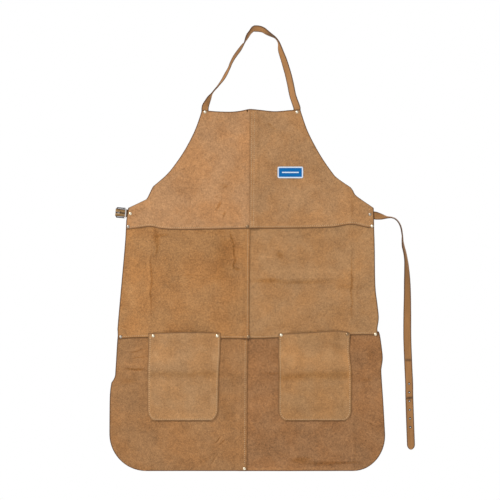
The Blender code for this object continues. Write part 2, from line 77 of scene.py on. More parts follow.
# Leather
THICK = 1.5
PITCH = 1.8  # from one sheet of a stack to the next
LAP = 18
CELL = 4.2  # the panels' mesh
RIM = (1.2, 2.6, 3.8, 5.0, 6.5)  # its lines beside a cut edge
EDGE_REACH = 45  # the rows this close to a cut edge follow its outline
SOFTENED = 0.35  # how wide the sharp edges are rounded
EDGE_DARK_REACH = (1.0, 3.4)  # a face is dark this far in from its cut edge, and clear by the second: burnish, and painted shade along the edge and under a lapping edge
SEWN_REACH, SEWN_DEPTH = 1.9, 0.3  # how far beside a seam the leather is pulled in, and how deep

# Seams
BIB_EDGE_Z, SKIRT_SEAM_Z, TOP_Z = 606, 331, 903
BIB_CENTRE_X, WAIST_CENTRE_X, SKIRT_CENTRE_X = -1, -1, -7
BIB_STEPS_Z = (657.8, 681)  # where the bib's sides turn sharply
WAIST_TOP_Z = BIB_EDGE_Z + LAP
SKIRT_TOP_Z = SKIRT_SEAM_Z + LAP
STEP = 12  # over which a sheet climbs onto the ones under it
LAP_STEP = 7


def world(x, y, z):
    return Vector((x * MM + CENTRE_X, y * MM, z * MM + HEM_Z))


def apron(point):
    """The apron's own millimetres of a point of the frame."""
    return ((point[0] - CENTRE_X) / MM, point[1] / MM, (point[2] - HEM_Z) / MM)


def middle(node):
    low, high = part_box(node)
    return apron([(a + b) / 2 for a, b in zip(low, high)])


# ---------------------------------------------------------------- curves and outlines


def catmull(points, i, t):
    """The smooth curve through the points, t of the way from point i to the next."""
    a, b, c, d = (points[min(max(i + k, 0), len(points) - 1)] for k in (-1, 0, 1, 2))
    made = []
    for p, q, r, s in zip(a, b, c, d):
        made.append(0.5 * (2 * q + (r - p) * t + (2 * p - 5 * q + 4 * r - s) * t * t
                           + (3 * q - p - 3 * r + s) * t ** 3))
    return made


def bend(points, step=4.0):
    """Evenly spread points of the smooth curve through given ones, about step apart."""
    made = []
    for i, (a, b) in enumerate(zip(points, points[1:])):
        pieces = max(1, round(math.dist(a[:3], b[:3]) / step))
        made += [catmull(points, i, k / pieces) for k in range(pieces)]
    return made + [list(points[-1])]


def hem_corner(edge_x, inward, height, steps=15):
    """A rounded hem corner from the side down to the hem. inward is how far it reaches in, signed."""
    made = []
    for i in range(steps + 1):
        angle = math.radians(90 * i / steps)
        made.append([edge_x + inward * (1 - math.cos(angle)), height * (1 - math.sin(angle))])
    return made


# Side outlines, top to bottom
BIB_LEFT_SIDE = (
    bend([(-120, 903), (-137, 854), (-161.5, 805.5), (-188.5, 765), (-210.5, 739), (-243, 711)])
    + bend([(-243.5, 710), (-252, 692), (-258, 681), (-264, 677), (-304, 658)])
    + bend([(-304.5, 657.5), (-309, 629), (-310.5, 604)])
)
BIB_RIGHT_SIDE = (
    bend([(126, 904), (130, 889.5), (147, 844), (176, 790), (204.5, 748), (219, 732), (252, 709)])
    + bend([(253, 708), (259, 699), (266, 688), (309, 658)])
    + bend([(309.3, 657), (310, 630), (310.3, 606)])
)
WAIST_LEFT_SIDE = bend([(-309.5, 626), (-310.5, 604), (-314, 552), (-330, 373), (-331, 350), (-330, 325)])
WAIST_RIGHT_SIDE = bend([(309, 626), (310.5, 604), (312, 552), (313.5, 464), (319, 415), (322, 384),
                         (319.5, 360), (318.5, 347), (320, 334)])
SKIRT_LEFT_SIDE = (
    bend([(-329, 350), (-332, 325), (-336, 259), (-338, 236), (-345, 223)])
    + bend([(-346.5, 221), (-350.5, 186), (-351.5, 94)]) + hem_corner(-351.5, 92, 93)[1:]
)
SKIRT_RIGHT_SIDE = (
    bend([(321, 350), (325, 340), (330, 305), (332, 281), (329, 258), (328.5, 244), (333.8, 164), (338, 90)])
    + hem_corner(338, -80, 89)[1:]
)

# Cut edges that run across, left to right
BIB_TOP_EDGE = bend([(-120, 902.5), (-86, 899.3), (-50, 898.3), (-25, 900.5), (-6, 904.5), (4, 905), (25, 903),
                     (62, 899.5), (103, 902.5), (126, 904)])
BIB_LOW_EDGE = bend([(-310.5, 604), (-280, 607.5), (-248, 611), (-222, 606), (-170, 603.5), (-7, 606), (118, 607),
                     (204, 609.5), (253, 616.5), (290, 609.5), (310, 608)])
WAIST_LOW_EDGE = bend([(-331, 330), (-255, 333.5), (-72, 331), (25, 331), (72, 333), (250, 340), (323, 340)])
POCKET_LEFT_TOP = bend([(-256, 345), (-235, 345), (-170, 347), (-100, 346.5), (-74, 345)])
POCKET_RIGHT_TOP = bend([(71, 342), (90, 343.5), (130, 346), (180, 349), (215, 351), (236, 349), (251, 345)])
POCKET_BOTTOM = 125
POCKET_CORNER = (21, 28)  # how far across and up a pocket's corner reaches


def pocket_sides(left, right):
    """A pocket's two side outlines, from given points that stop where the rounded corners begin."""
    made = []
    for side, inward in ((left, POCKET_CORNER[0]), (right, -POCKET_CORNER[0])):
        corner = hem_corner(side[-1][0], inward, POCKET_CORNER[1])[1:]
        made.append(bend(side) + [[x, z + POCKET_BOTTOM] for x, z in corner])
    return made


POCKET_LEFT_SIDES = pocket_sides([(-254, 346), (-254.5, 290), (-256.5, 250), (-256.5, 154)],
                                 [(-73.5, 346), (-75, 290), (-77.5, 250), (-80, 154)])
POCKET_RIGHT_SIDES = pocket_sides([(71.5, 346), (71, 290), (71.5, 250), (71, 154)],
                                  [(250, 346), (249, 305), (251, 272), (254, 250), (253.5, 154)])
POCKET_DEPTH, POCKET_FLANGE, POCKET_RISE = 7.5, 15, 34  # how far it is dished, its flat rim and the slope
POCKET_SEAM_INSET, POCKET_SEAM_TOP = 4.5, 336

# Sewing lines
ABOVE_EDGE = 5
BIB_SEAM = [(x, z + ABOVE_EDGE) for x, z in BIB_LOW_EDGE if -306 < x < 306]
LOW_SEAM = [(x, z + ABOVE_EDGE) for x, z in WAIST_LOW_EDGE if -327 < x < 317]
BIB_CENTRE_SEAMS = [[(2, 612), (5, 897)], [(9, 612), (11, 897)]]
WAIST_CENTRE_SEAM = [(-5.5, 602), (-6, 500), (-7, 338)]
SKIRT_CENTRE_SEAM = [(-12, 326), (-12.8, 180), (-13.5, 14)]


def pocket_seam(left, right):
    """The sewing line inside a pocket's two sides and bottom."""
    wide, tall = (reach - POCKET_SEAM_INSET for reach in POCKET_CORNER)
    base = POCKET_BOTTOM + POCKET_CORNER[1]
    down = [(x + POCKET_SEAM_INSET, z) for x, z in left if base + 1 < z < POCKET_SEAM_TOP]
    up = [(x - POCKET_SEAM_INSET, z) for x, z in right if base + 1 < z < POCKET_SEAM_TOP][::-1]
    made = list(down)
    for cx, start in ((down[-1][0] + wide, 180), (up[0][0] - wide, 270)):
        for i in range(9):
            angle = math.radians(start + 90 * i / 8)
            made.append((cx + wide * math.cos(angle), base + tall * math.sin(angle)))
    return made + up


POCKET_LEFT_SEAM = pocket_seam(*POCKET_LEFT_SIDES)
POCKET_RIGHT_SEAM = pocket_seam(*POCKET_RIGHT_SIDES)


def side_x(side, z):
    """The outline's x at each height."""
    low_first = side[::-1]
    heights = np.maximum.accumulate([p[1] for p in low_first])
    return np.interp(z, heights, [p[0] for p in low_first])


def edge_z(edge, x):
    return np.interp(x, [p[0] for p in edge], [p[1] for p in edge])


# ---------------------------------------------------------------- depths of the sheets


def ramp(value, low, high):
    t = np.clip((value - low) / (high - low), 0, 1)
    return t * t * (3 - 2 * t)


# Soft ridges towards the front: start x, z, end x, z, half width, height. Most are left by how it was packed.
RIDGES = [
    (-249, 10, -246, 690, 9, 1.7), (254, 15, 253, 706, 9, 1.6), (-330, 249, 330, 252, 11, 1.9),
    (-322, 478, 312, 476, 12, 1.3), (-240, 706, 250, 708, 12, 1.2), (-212, 540, -226, 470, 9, 0.8),
    (-95, 95, -70, 60, 5, 0.7), (-84, 92, -62, 62, 5, -0.6), (-40, 80, -120, 20, 10, 0.7),
    (-330, 362, -262, 340, 9, 1.0), (-200, 610, -120, 560, 12, 0.8), (60, 620, 170, 700, 14, 0.8),
    (90, 420, 200, 455, 12, -0.9), (275, 180, 320, 120, 10, 0.9), (-300, 300, -262, 285, 6, -0.9),
    (-318, 270, -262, 262, 6, 0.8),
]
# Slow waves: height, wavelength, direction in degrees from +x, phase
WAVES = [
    (1.5, 520, 20, 0.4), (1.2, 330, 75, 1.9), (0.7, 210, 130, 3.1), (0.45, 140, 50, 4.4), (0.3, 95, 160, 0.9),
    (0.22, 62, 100, 2.2), (0.16, 43, 15, 5.0),
]
# Where straps are riveted on, the panel lies as flat as its solid
HELD_POINTS = [middle(n) for n in ("neck_rivet_left", "neck_rivet_right", "strap_rivet", "tab_rivet")]
HELD_RADIUS = 42


def wave(x, z):
    """How far every sheet of the stack lies from its flat place at a point."""
    y = np.zeros(np.broadcast(x, z).shape)
    for height, length, direction, phase in WAVES:
        angle = math.radians(direction)
        along = x * math.cos(angle) + z * math.sin(angle)
        y = y - height * np.sin(2 * math.pi * along / length + phase)
    for x0, z0, x1, z1, half, height in RIDGES:
        span = (x1 - x0) ** 2 + (z1 - z0) ** 2
        t = np.clip(((x - x0) * (x1 - x0) + (z - z0) * (z1 - z0)) / span, 0, 1)
        away = np.hypot(x - x0 - t * (x1 - x0), z - z0 - t * (z1 - z0))
        y = y - height * np.exp(-((away / half) ** 2))
    for px, _, pz in HELD_POINTS:
        y = y * (1 - np.exp(-(((x - px) ** 2 + (z - pz) ** 2) / HELD_RADIUS ** 2)))
    return y


def over_skirt(z):
    return 1 - ramp(z, SKIRT_TOP_Z + 1, SKIRT_TOP_Z + 1 + STEP)


def over_waist(z):
    return 1 - ramp(z, WAIST_TOP_Z + 1, WAIST_TOP_Z + 1 + STEP)


def past(x, lap_x):
    """0 left of a lap's hidden edge and 1 over it."""
    return ramp(x, lap_x - 1 - LAP_STEP, lap_x - 1)


def skirt_right_y(x, z):
    return wave(x, z)


def skirt_left_y(x, z):
    return wave(x, z) - PITCH * past(x, SKIRT_CENTRE_X - LAP)


def waist_right_y(x, z):
    level = over_skirt(z) * (2 - ramp(x, SKIRT_CENTRE_X + 1, SKIRT_CENTRE_X + 1 + LAP_STEP))
    return wave(x, z) - PITCH * level


def waist_left_y(x, z):
    level = over_skirt(z) * (1 + past(x, SKIRT_CENTRE_X - LAP)) + past(x, WAIST_CENTRE_X - LAP)
    return wave(x, z) - PITCH * level


def bib_left_y(x, z):
    return wave(x, z) - PITCH * over_waist(z) * (1 + past(x, WAIST_CENTRE_X - LAP))


def bib_right_y(x, z):
    lap = 1 - ramp(x, BIB_CENTRE_X + LAP + 1, BIB_CENTRE_X + LAP + 1 + LAP_STEP)
    return wave(x, z) - PITCH * (over_waist(z) * (1 + lap) + lap)


def pocket_y(sides):
    """A pocket's depth: sewn flat along its sides and bottom, and dished forwards inside them."""
    left, right = sides

    def depth(x, z):
        above_corner = np.maximum(z, POCKET_BOTTOM + POCKET_CORNER[1] + 1)
        inward = np.minimum(x - side_x(left, above_corner), side_x(right, above_corner) - x)
        rise = 0.82 + 0.18 * ramp(z, 240, 340)
        for reach in (inward, z - POCKET_BOTTOM):
            rise = rise * ramp(reach, POCKET_FLANGE, POCKET_FLANGE + POCKET_RISE)
        level = 1 + ramp(z, SKIRT_SEAM_Z - 10, SKIRT_SEAM_Z + 2)
        return wave(x, z) - PITCH * level - POCKET_DEPTH * rise

    return depth


pocket_left_y = pocket_y(POCKET_LEFT_SIDES)
pocket_right_y = pocket_y(POCKET_RIGHT_SIDES)


def split(at, left_y, right_y):
    """One depth left of a place and another right of it."""
    return lambda x, z: np.where(np.asarray(x) < at, left_y(x, z), right_y(x, z))


bib_front = split(BIB_CENTRE_X, bib_left_y, bib_right_y)
waist_front = split(WAIST_CENTRE_X - 1, waist_left_y, waist_right_y)
waist_back = split(WAIST_CENTRE_X - LAP, waist_left_y, waist_right_y)
skirt_back = split(SKIRT_CENTRE_X - LAP, skirt_left_y, skirt_right_y)


# ---------------------------------------------------------------- materials


class Nodes:
    """Short calls that add shader nodes to a material and join them."""

    def __init__(self, name):
        self.material = bpy.data.materials.new(name)
        self.material.use_nodes = True
        self.tree = self.material.node_tree
        self.shader = self.tree.nodes["Principled BSDF"]

    def add(self, kind, inputs=(), **settings):
        node = self.tree.nodes.new(kind)
        for key, value in settings.items():
            setattr(node, key, value)
        for key, value in dict(inputs).items():
            self.put(value, node.inputs[key])
        return node

    def put(self, value, socket):
        if isinstance(value, bpy.types.NodeSocket):
            self.tree.links.new(value, socket)
        else:
            socket.default_value = (*value, 1.0) if socket.type == "RGBA" else value

    def flat(self):
        return self.add("ShaderNodeUVMap", uv_map="flat").outputs[0]

    def place(self):
        return self.add("ShaderNodeTexCoord").outputs["Object"]

    def attribute(self, name):
        return self.add("ShaderNodeAttribute", attribute_name=name).outputs["Fac"]

    def math(self, operation, *values):
        return self.add("ShaderNodeMath", enumerate(values), operation=operation).outputs[0]

    def vector(self, operation, *values):
        return self.add("ShaderNodeVectorMath", enumerate(values), operation=operation).outputs[0]

    def noise(self, vector, scale, detail=3.0, roughness=0.55, distortion=0.0, output="Fac"):
        inputs = {"Vector": vector, "Scale": scale, "Detail": detail, "Roughness": roughness,
                  "Distortion": distortion}
        return self.add("ShaderNodeTexNoise", inputs).outputs[output]

    def ramp(self, value, low, high, to_low=0.0, to_high=1.0):
        inputs = {"Value": value, "From Min": low, "From Max": high, "To Min": to_low, "To Max": to_high}
        return self.add("ShaderNodeMapRange", inputs, interpolation_type="SMOOTHSTEP").outputs[0]

    def mix(self, factor, a, b, blend="MIX"):
        inputs = {0: factor, 6: a, 7: b}
        return self.add("ShaderNodeMix", inputs, data_type="RGBA", blend_type=blend).outputs[2]

    def scaled(self, vector, scale):
        return self.add("ShaderNodeMapping", {"Vector": vector, "Scale": scale}).outputs[0]

    def varied(self, value, *textures):
        """value, lifted and lowered by each texture round its own middle, by the amount beside it."""
        for texture, amount in textures:
            value = self.math("ADD", value, self.math("MULTIPLY", self.math("SUBTRACT", texture, 0.5), amount))
        return value

    def finish(self, colour, roughness, height, strength, distance, more=()):
        bump = self.add("ShaderNodeBump", {"Height": height, "Strength": strength, "Distance": distance})
        inputs = {"Base Color": colour, "Roughness": roughness, "Normal": bump.outputs[0], **dict(more)}
        for key, value in inputs.items():
            self.put(value, self.shader.inputs[key])
        return self.material


CUT_EDGE = (0.075, 0.034, 0.014)
# Painted shade: the dark colour that a rivet cap turns towards at its rim.
CAP_RIM_SHADE = (0.20, 0.13, 0.075)
WARM_DARKENING = (1.06, 0.94, 0.72)  # the colour of leather where a mark darkens it, over its own: on stains and on painted crease shade alike
SMALL = 14  # a mark no larger than this keeps its outline


def times(colour, factor):
    return [min(1, c * factor) for c in colour]


def stains_and_painted_shade(nodes, vector, marks):
    """Soft marks on the leather: stains, and painted shade and painted light beside creases and folds. Each is x, z,
    length, width, angle in degrees and strength, below 0 where dark.
    """
    total = 0.0
    for x, z, length, width, angle, strength in marks:
        place = {"Vector": vector, "Location": (x * MM, z * MM, 0), "Rotation": (0, 0, math.radians(angle)),
                 "Scale": (length * MM / 2, width * MM / 2, 1)}
        local = nodes.add("ShaderNodeMapping", place, vector_type="TEXTURE").outputs[0]
        away = nodes.add("ShaderNodeVectorMath", {0: local}, operation="LENGTH").outputs["Value"]
        total = nodes.math("ADD", total, nodes.ramp(away, 0.0, 1.0, strength, 0.0))
    return total


def suede(name, colour, seed, marks=(), mottle=1.0):
    """Split leather: a short nap, clouds, pores, marks where given, and a dark band along its cut edges that is
    partly burnish and partly painted shade. Along its sewing lines it is lightened: disturbed nap, and a painted
    highlight.
    """
    n = Nodes(name)
    flat = n.flat()
    moved = n.vector("ADD", flat, (seed * 1.7, seed * 0.9, seed * 0.31))
    warp = n.vector("SUBTRACT", n.noise(flat, 28.0, output="Color"), (0.5, 0.5, 0.5))
    uneven = n.vector("ADD", flat, n.vector("MULTIPLY", warp, (0.014, 0.014, 0.0)))

    cloud = n.noise(moved, 8.0)
    patch = n.noise(moved, 34.0, 4.0, 0.6, 0.4)
    mottled = n.noise(moved, 170.0, 4.0, 0.65, 0.3)
    fleck = n.noise(moved, 360.0, 2.0, 0.6, 0.5)
    pores = n.noise(moved, 780.0, 3.0, 0.7)
    nap = n.noise(n.scaled(moved, (900.0, 260.0, 1.0)), 1.0, 2.0, 0.6)

    textures = ((cloud, 0.40), (patch, 0.55), (mottled, 0.80), (fleck, 1.0), (pores, 0.6), (nap, 0.2))
    value = n.varied(1.0, *((texture, amount * mottle) for texture, amount in textures))
    # The marks: stains, and painted shade and painted light along creases and folds.
    stain_and_shade = n.math("ADD", stains_and_painted_shade(n, uneven, [m for m in marks if max(m[2:4]) > SMALL]),
                     stains_and_painted_shade(n, flat, [m for m in marks if max(m[2:4]) <= SMALL]))
    value = n.math("ADD", value, stain_and_shade)

    tint = n.ramp(n.noise(moved, 17.0), 0.35, 0.65)
    warm, cool = ([c * k for c, k in zip(colour, by)] for by in ((1.03, 0.985, 0.93), (0.97, 1.01, 1.09)))
    lit = n.mix(1.0, n.mix(tint, warm, cool), value, "MULTIPLY")
    # Where a mark darkens, stain and painted shade alike, the colour turns warmer.
    lit = n.mix(n.ramp(stain_and_shade, -0.3, 0.0, 1.0, 0.0), lit, n.mix(1.0, lit, WARM_DARKENING, "MULTIPLY"))
    # Painted highlight, and disturbed nap: leather along the sewing lines is lightened towards a paler copy of its
    # colour.
    lit = n.mix(n.math("MULTIPLY", n.attribute("sewn"), 0.15), lit, times(colour, 1.9))
    # Painted shade with burnish: the cut-edge band is mixed towards the cut edge's dark colour.
    wear_and_painted_light = n.math("MULTIPLY", n.attribute("edge"), n.ramp(mottled, 0.25, 0.6, 0.8, 1.0))

    height = n.math("ADD", n.math("MULTIPLY", mottled, 0.9), n.math("MULTIPLY", pores, 0.6))
    height = n.math("ADD", height, n.math("MULTIPLY", nap, 0.35))
    sheen = {"Sheen Weight": 0.12, "Sheen Roughness": 0.6, "Sheen Tint": times(colour, 2),
             "Specular IOR Level": 0.25}
    return n.finish(n.mix(wear_and_painted_light, lit, CUT_EDGE), n.ramp(patch, 0.3, 0.7, 0.82, 0.96), height, 0.55, 0.0006, sheen)


def cut_edge(name, colour=CUT_EDGE):
    """The burnished side of a cut sheet: fibres pressed into short lines."""
    n = Nodes(name)
    place = n.place()
    fibres = n.noise(place, 900.0, 3.0, 0.7)
    bands = n.noise(n.scaled(place, (60.0, 2600.0, 60.0)), 1.0, 2.0)
    out = n.mix(n.ramp(n.math("MULTIPLY", fibres, bands), 0.15, 0.4), colour, times(colour, 2.1))
    return n.finish(out, n.ramp(fibres, 0.3, 0.7, 0.55, 0.8), bands, 0.4, 0.0002)


def grain_leather(name, colour, shade_marks=()):
    """Strap leather: smoother than the panels, with a fine grain, stretch lines along its length, and painted shade
    at its given marks.
    """
    n = Nodes(name)
    flat = n.flat()
    cells = n.add("ShaderNodeTexVoronoi", {"Vector": flat, "Scale": 850.0}, feature="DISTANCE_TO_EDGE")
    cracks = n.ramp(cells.outputs["Distance"], 0.0, 0.25)
    cloud = n.noise(n.scaled(flat, (90.0, 14.0, 1.0)), 1.0, 4.0, 0.6)
    streak = n.noise(n.scaled(flat, (1500.0, 30.0, 1.0)), 1.0, 3.0, 0.6)
    specks = n.noise(flat, 420.0, 4.0, 0.7)
    value = n.math("ADD", 0.93, n.math("MULTIPLY", cracks, 0.07))
    value = n.math("ADD", n.varied(value, (cloud, 0.7), (streak, 0.4), (specks, 0.5)), stains_and_painted_shade(n, flat, shade_marks))
    # Painted shade with burnish: the strap's edges are mixed towards the cut edge's dark colour.
    wear_and_painted_light = n.math("MULTIPLY", n.attribute("edge"), 0.95)
    out = n.mix(wear_and_painted_light, n.mix(1.0, colour, value, "MULTIPLY"), CUT_EDGE)
    height = n.math("ADD", n.math("MULTIPLY", cracks, 0.5), n.math("MULTIPLY", specks, 0.5))
    return n.finish(out, n.ramp(specks, 0.3, 0.7, 0.5, 0.72), height, 0.35, 0.0003, {"Specular IOR Level": 0.35})


def plated(name, colour, low, high, tarnish=0.35, dark=CAP_RIM_SHADE):
    """Nickel plate with fine brush lines and a little tarnish. It is painted dark where "shade" says so: painted
    shade round a rivet cap's rim, and a painted dark reflection over the buckle.
    """
    n = Nodes(name)
    place = n.place()
    dull = n.noise(place, 240.0, 4.0, 0.6)
    scratch = n.noise(n.scaled(place, (4200.0, 4200.0, 500.0)), 1.0, 2.0)
    out = n.mix(n.ramp(dull, 0.4, 0.72), colour, times(colour, 1 - tarnish))
    out = n.mix(n.attribute("shade"), out, dark)
    return n.finish(out, n.ramp(dull, 0.3, 0.7, low, high), scratch, 0.12, 0.0001, {"Metallic": 1.0})


def thread(name, colour):
    """Twisted sewing thread."""
    n = Nodes(name)
    fibre = n.noise(n.place(), 2400.0, 2.0, 0.7)
    out = n.mix(1.0, colour, n.ramp(fibre, 0.3, 0.7, 0.7, 1.1), "MULTIPLY")
    return n.finish(out, 0.8, fibre, 0.5, 0.0002)


def woven(name, colour, second, scale=1400.0):
    """A close twill weave for the label."""
    n = Nodes(name)
    flat = n.flat()
    turned_by = (0, 0, math.radians(38))
    turned = n.add("ShaderNodeMapping", {"Vector": flat, "Rotation": turned_by}).outputs[0]
    ribs = n.add("ShaderNodeTexWave", {"Vector": turned, "Scale": scale / 6.3, "Distortion": 1.5, "Detail": 2.0})
    ribs = ribs.outputs["Fac"]
    warp = n.noise(n.scaled(flat, (scale * 2, scale / 3, 1.0)), 1.0, 2.0)
    amount = n.math("MULTIPLY", ribs, n.ramp(warp, 0.3, 0.7, 0.5, 1.0))
    return n.finish(n.mix(amount, second, colour), 0.8, ribs, 0.5, 0.0003, {"Specular IOR Level": 0.15})


# ---------------------------------------------------------------- meshes


def settle(obj):
    """Gives obj the mesh that its modifiers make, and drops them."""
    graph = bpy.context.evaluated_depsgraph_get()
    mesh = bpy.data.meshes.new_from_object(obj.evaluated_get(graph), preserve_all_data_layers=True, depsgraph=graph)
    obj.modifiers.clear()
    obj.data = mesh
    return obj


def new_object(name, mesh, *materials):
    obj = bpy.data.objects.new(name, mesh)
    bpy.context.scene.collection.objects.link(obj)
    for made in materials:
        mesh.materials.append(made)
    return obj


def mesh_from(name, points, faces):
    """A mesh of points in the apron's own millimetres, with its faces turned outwards."""
    mesh = bpy.data.meshes.new(name)
    mesh.from_pydata([world(*p) for p in points], [], faces)
    bm = bmesh.new()
    bm.from_mesh(mesh)
    bmesh.ops.recalc_face_normals(bm, faces=bm.faces)
    bm.to_mesh(mesh)
    bm.free()
    return mesh


def set_flat(mesh, places):
    """The map "flat": where each vertex lay on the uncut hide, in metres."""
    layer = mesh.uv_layers.new(name="flat")
    corner = np.empty(len(mesh.loops), np.int32)
    mesh.loops.foreach_get("vertex_index", corner)
    layer.data.foreach_set("uv", (np.asarray(places, np.float32) * MM)[corner].ravel())


def set_values(mesh, name, values):
    """A number from 0 to 1 at each point, which the material reads by its name."""
    mesh.attributes.new(name, "FLOAT", "POINT").data.foreach_set("value", np.array(values, np.float32))


def rounded(obj):
    """Softens a cut sheet's sharp edges, and shades the rest smooth."""
    soften = obj.modifiers.new("soften", "BEVEL")
    soften.width = SOFTENED * MM
    soften.segments = 2
    soften.limit_method = "ANGLE"
    soften.angle_limit = math.radians(50)
    soften.harden_normals = False
    settle(obj)
    obj.data.shade_smooth()


def heights(low, high, extra=()):
    """Heights of a sheet's rows, close together beside its two cut edges."""
    inner = np.linspace(low + RIM[-1], high - RIM[-1], max(2, round((high - low - 2 * RIM[-1]) / CELL)) + 1)
    rows = sorted([low, *(low + r for r in RIM), *inner, *(high - r for r in RIM), high, *extra])
    kept = [rows[0]]
    for row in rows[1:]:
        if row - kept[-1] > 0.25:
            kept.append(row)
    kept[-1] = high
    return np.array(kept)


def cut_sheet(name, left, right, rows, depth, materials, thick=THICK, top=None, bottom=None, cell=CELL,
              edge_darkness=(1, 1, 1, 1), sewing=()):
    """A sheet between two side outlines, thickened and with its cut edges softened.
    top and bottom shape its cut edges: each is an outline that the nearest rows follow. The edge darkness gives how
    dark a band along the bottom, right, top and left edges is painted: partly burnish, partly painted shade along the
    cut edge and under a lapping edge. sewing holds the lines that are pulled in by stitches."""
    x0, x1 = side_x(left, rows), side_x(right, rows)
    share = np.linspace(0, 1, max(2, round((x1 - x0).max() / cell)) + 1)
    rim = np.array([0, *(r for r in RIM if 4 * r < (x1 - x0).min())])
    inner = x0[:, None] + rim[-1] + (x1 - x0 - 2 * rim[-1])[:, None] * share[None, :]
    x = np.concatenate([x0[:, None] + rim[:-1], inner, x1[:, None] - rim[-2::-1]], axis=1)
    z = np.repeat(rows[:, None], x.shape[1], axis=1)
    if top is not None:
        z = z + (edge_z(top, x) - rows[-1]) * (1 - ramp(rows[-1] - rows, 0, EDGE_REACH))[:, None]
    if bottom is not None:
        z = z + (edge_z(bottom, x) - rows[0]) * (1 - ramp(rows - rows[0], 0, EDGE_REACH))[:, None]
    pulled = sewn_in(x, z, sewing)
    y = depth(x, z) + SEWN_DEPTH * pulled
    nr, nc = x.shape
    grid = np.stack([x, y, z], axis=2).reshape(-1, 3)
    front, back = grid - (0, thick / 2, 0), grid + (0, thick / 2, 0)
    index = np.arange(nr * nc).reshape(nr, nc)
    a, b, c, d = index[:-1, :-1], index[:-1, 1:], index[1:, 1:], index[1:, :-1]
    quads = np.stack([a, b, c, d], axis=2).reshape(-1, 4)
    rim = np.concatenate([index[0, :-1], index[:-1, -1], index[-1, :0:-1], index[:0:-1, 0]])
    ahead = np.roll(rim, -1)
    walls = np.stack([rim, ahead, ahead + nr * nc, rim + nr * nc], axis=1)
    faces = [*quads.tolist(), *(quads[:, ::-1] + nr * nc).tolist(), *walls.tolist()]
    mesh = mesh_from(name, np.concatenate([front, back]).tolist(), faces)

    places = grid[:, (0, 2)]
    dark = np.zeros(len(places))
    # Painted shade with burnish: each cut edge's band is darkened by its own amount, for shade along the edge and
    # under a lapping edge as well as burnished leather.
    for line, amount in zip((index[0], index[:, -1], index[-1], index[:, 0]), edge_darkness):
        dark = np.maximum(dark, amount * (1 - ramp(distance(places, places[line]), *EDGE_DARK_REACH)))
    set_values(mesh, "edge", np.concatenate([dark] * 2))
    set_values(mesh, "sewn", np.concatenate([pulled.ravel()] * 2))
    set_flat(mesh, np.concatenate([places] * 2))
    obj = new_object(name, mesh, *materials)
    sides = np.zeros(len(mesh.polygons), np.int32)
    sides[2 * len(quads):] = 1
    mesh.polygons.foreach_set("material_index", sides)
    rounded(obj)
    obj["cut"] = [float(x.max() - x.min()) * MM, float(z.max() - z.min()) * MM, quad_area(x, z) * MM * MM]
    return obj


def distance(places, line):
    """How far each place lies from the nearest point of a line of close points."""
    far = np.full(len(places), 99.0)
    low, high = line.min(axis=0) - 6, line.max(axis=0) + 6
    near = np.where(((places > low) & (places < high)).all(axis=1))[0]
    for start in range(0, len(near), 2000):
        some = near[start:start + 2000]
        far[some] = np.hypot(*(places[some, None, :] - line[None, :, :]).transpose(2, 0, 1)).min(axis=1)
    return far


def sewn_in(x, z, lines):
    """1 on a sewing line, falling to 0 a few millimetres away."""
    places, total = np.stack([x.ravel(), z.ravel()], axis=1), np.zeros(x.size)
    for line in lines:
        close = np.array([p[:2] for p in bend([list(p[:2]) for p in line], 1.5)])
        total = np.maximum(total, np.exp(-(distance(places, close) / SEWN_REACH) ** 2))
    return total.reshape(x.shape)


def quad_area(x, z):
    """The cut area of a grid, laid flat."""
    ax, az = x[1:, 1:] - x[:-1, :-1], z[1:, 1:] - z[:-1, :-1]
    bx, bz = x[1:, :-1] - x[:-1, 1:], z[1:, :-1] - z[:-1, 1:]
    return float(np.abs(ax * bz - az * bx).sum() / 2)


def declare(obj, slot, body, *nodes):
    """Hangs a piece on the body that it rides on and hides the nodes that it stands for. slot is not used."""
    if nodes:
        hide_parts(*nodes)
    if body:
        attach(obj, body)


def hang(obj, node, slot, body):
    """Declares a leather sheet."""
    del obj["cut"]
    declare(obj, slot, body, node)


def tube_faces(rings, size, closed=False):
    """The faces of a tube through rings of size points each, closed in itself or with two flat ends."""
    faces = []
    for i in range(rings if closed else rings - 1):
        a, b = i * size, (i + 1) % rings * size
        for k in range(size):
            nxt = (k + 1) % size
            faces.append((a + k, a + nxt, b + nxt, b + k))
    if closed:
        return faces
    return faces + [tuple(range(size)), tuple(range(rings * size - 1, (rings - 1) * size - 1, -1))]


def circle(count):
    """The cosine and sine of evenly spread angles."""
    return [(math.cos(a), math.sin(a)) for a in (2 * math.pi * k / count for k in range(count))]


def spun(profile, sides):
    """Points and faces of a solid turned about y, from a profile of radius and y with its ends on the axis."""
    points = [(0, profile[0][1], 0)]
    for radius, y in profile[1:-1]:
        points += [(radius * c, y, radius * s) for c, s in circle(sides)]
    last = len(points)
    faces = [tuple(i + 1 for i in face) for face in tube_faces(len(profile) - 2, sides)[:-2]]
    for k in range(sides):
        nxt = (k + 1) % sides
        faces += [(0, 1 + k, 1 + nxt), (last, last - sides + nxt, last - sides + k)]
    return points + [(0, profile[-1][1], 0)], faces


STITCH_PITCH, STITCH_LENGTH, STITCH_RADIUS, NEEDLE_RADIUS = 5.0, 3.4, 0.62, 0.6
STITCH = [(0, -0.5), (0.72, -0.4), (1, -0.12), (1, 0.12), (0.72, 0.4), (0, 0.5)]  # half its outline, 1 long


def along_line(line):
    """Places and directions one stitch apart along a line of x, z points."""
    points = np.array([p[:2] for p in line], float)
    run = np.concatenate([[0], np.cumsum(np.hypot(*(points[1:] - points[:-1]).T))])

    def place(at):
        return np.stack([np.interp(at, run, points[:, 0]), np.interp(at, run, points[:, 1])])

    at = np.arange(STITCH_PITCH / 2, run[-1], STITCH_PITCH)
    step = place(at + 0.5) - place(at - 0.5)
    return (*place(at), *(step / np.maximum(np.hypot(*step), 1e-6)))


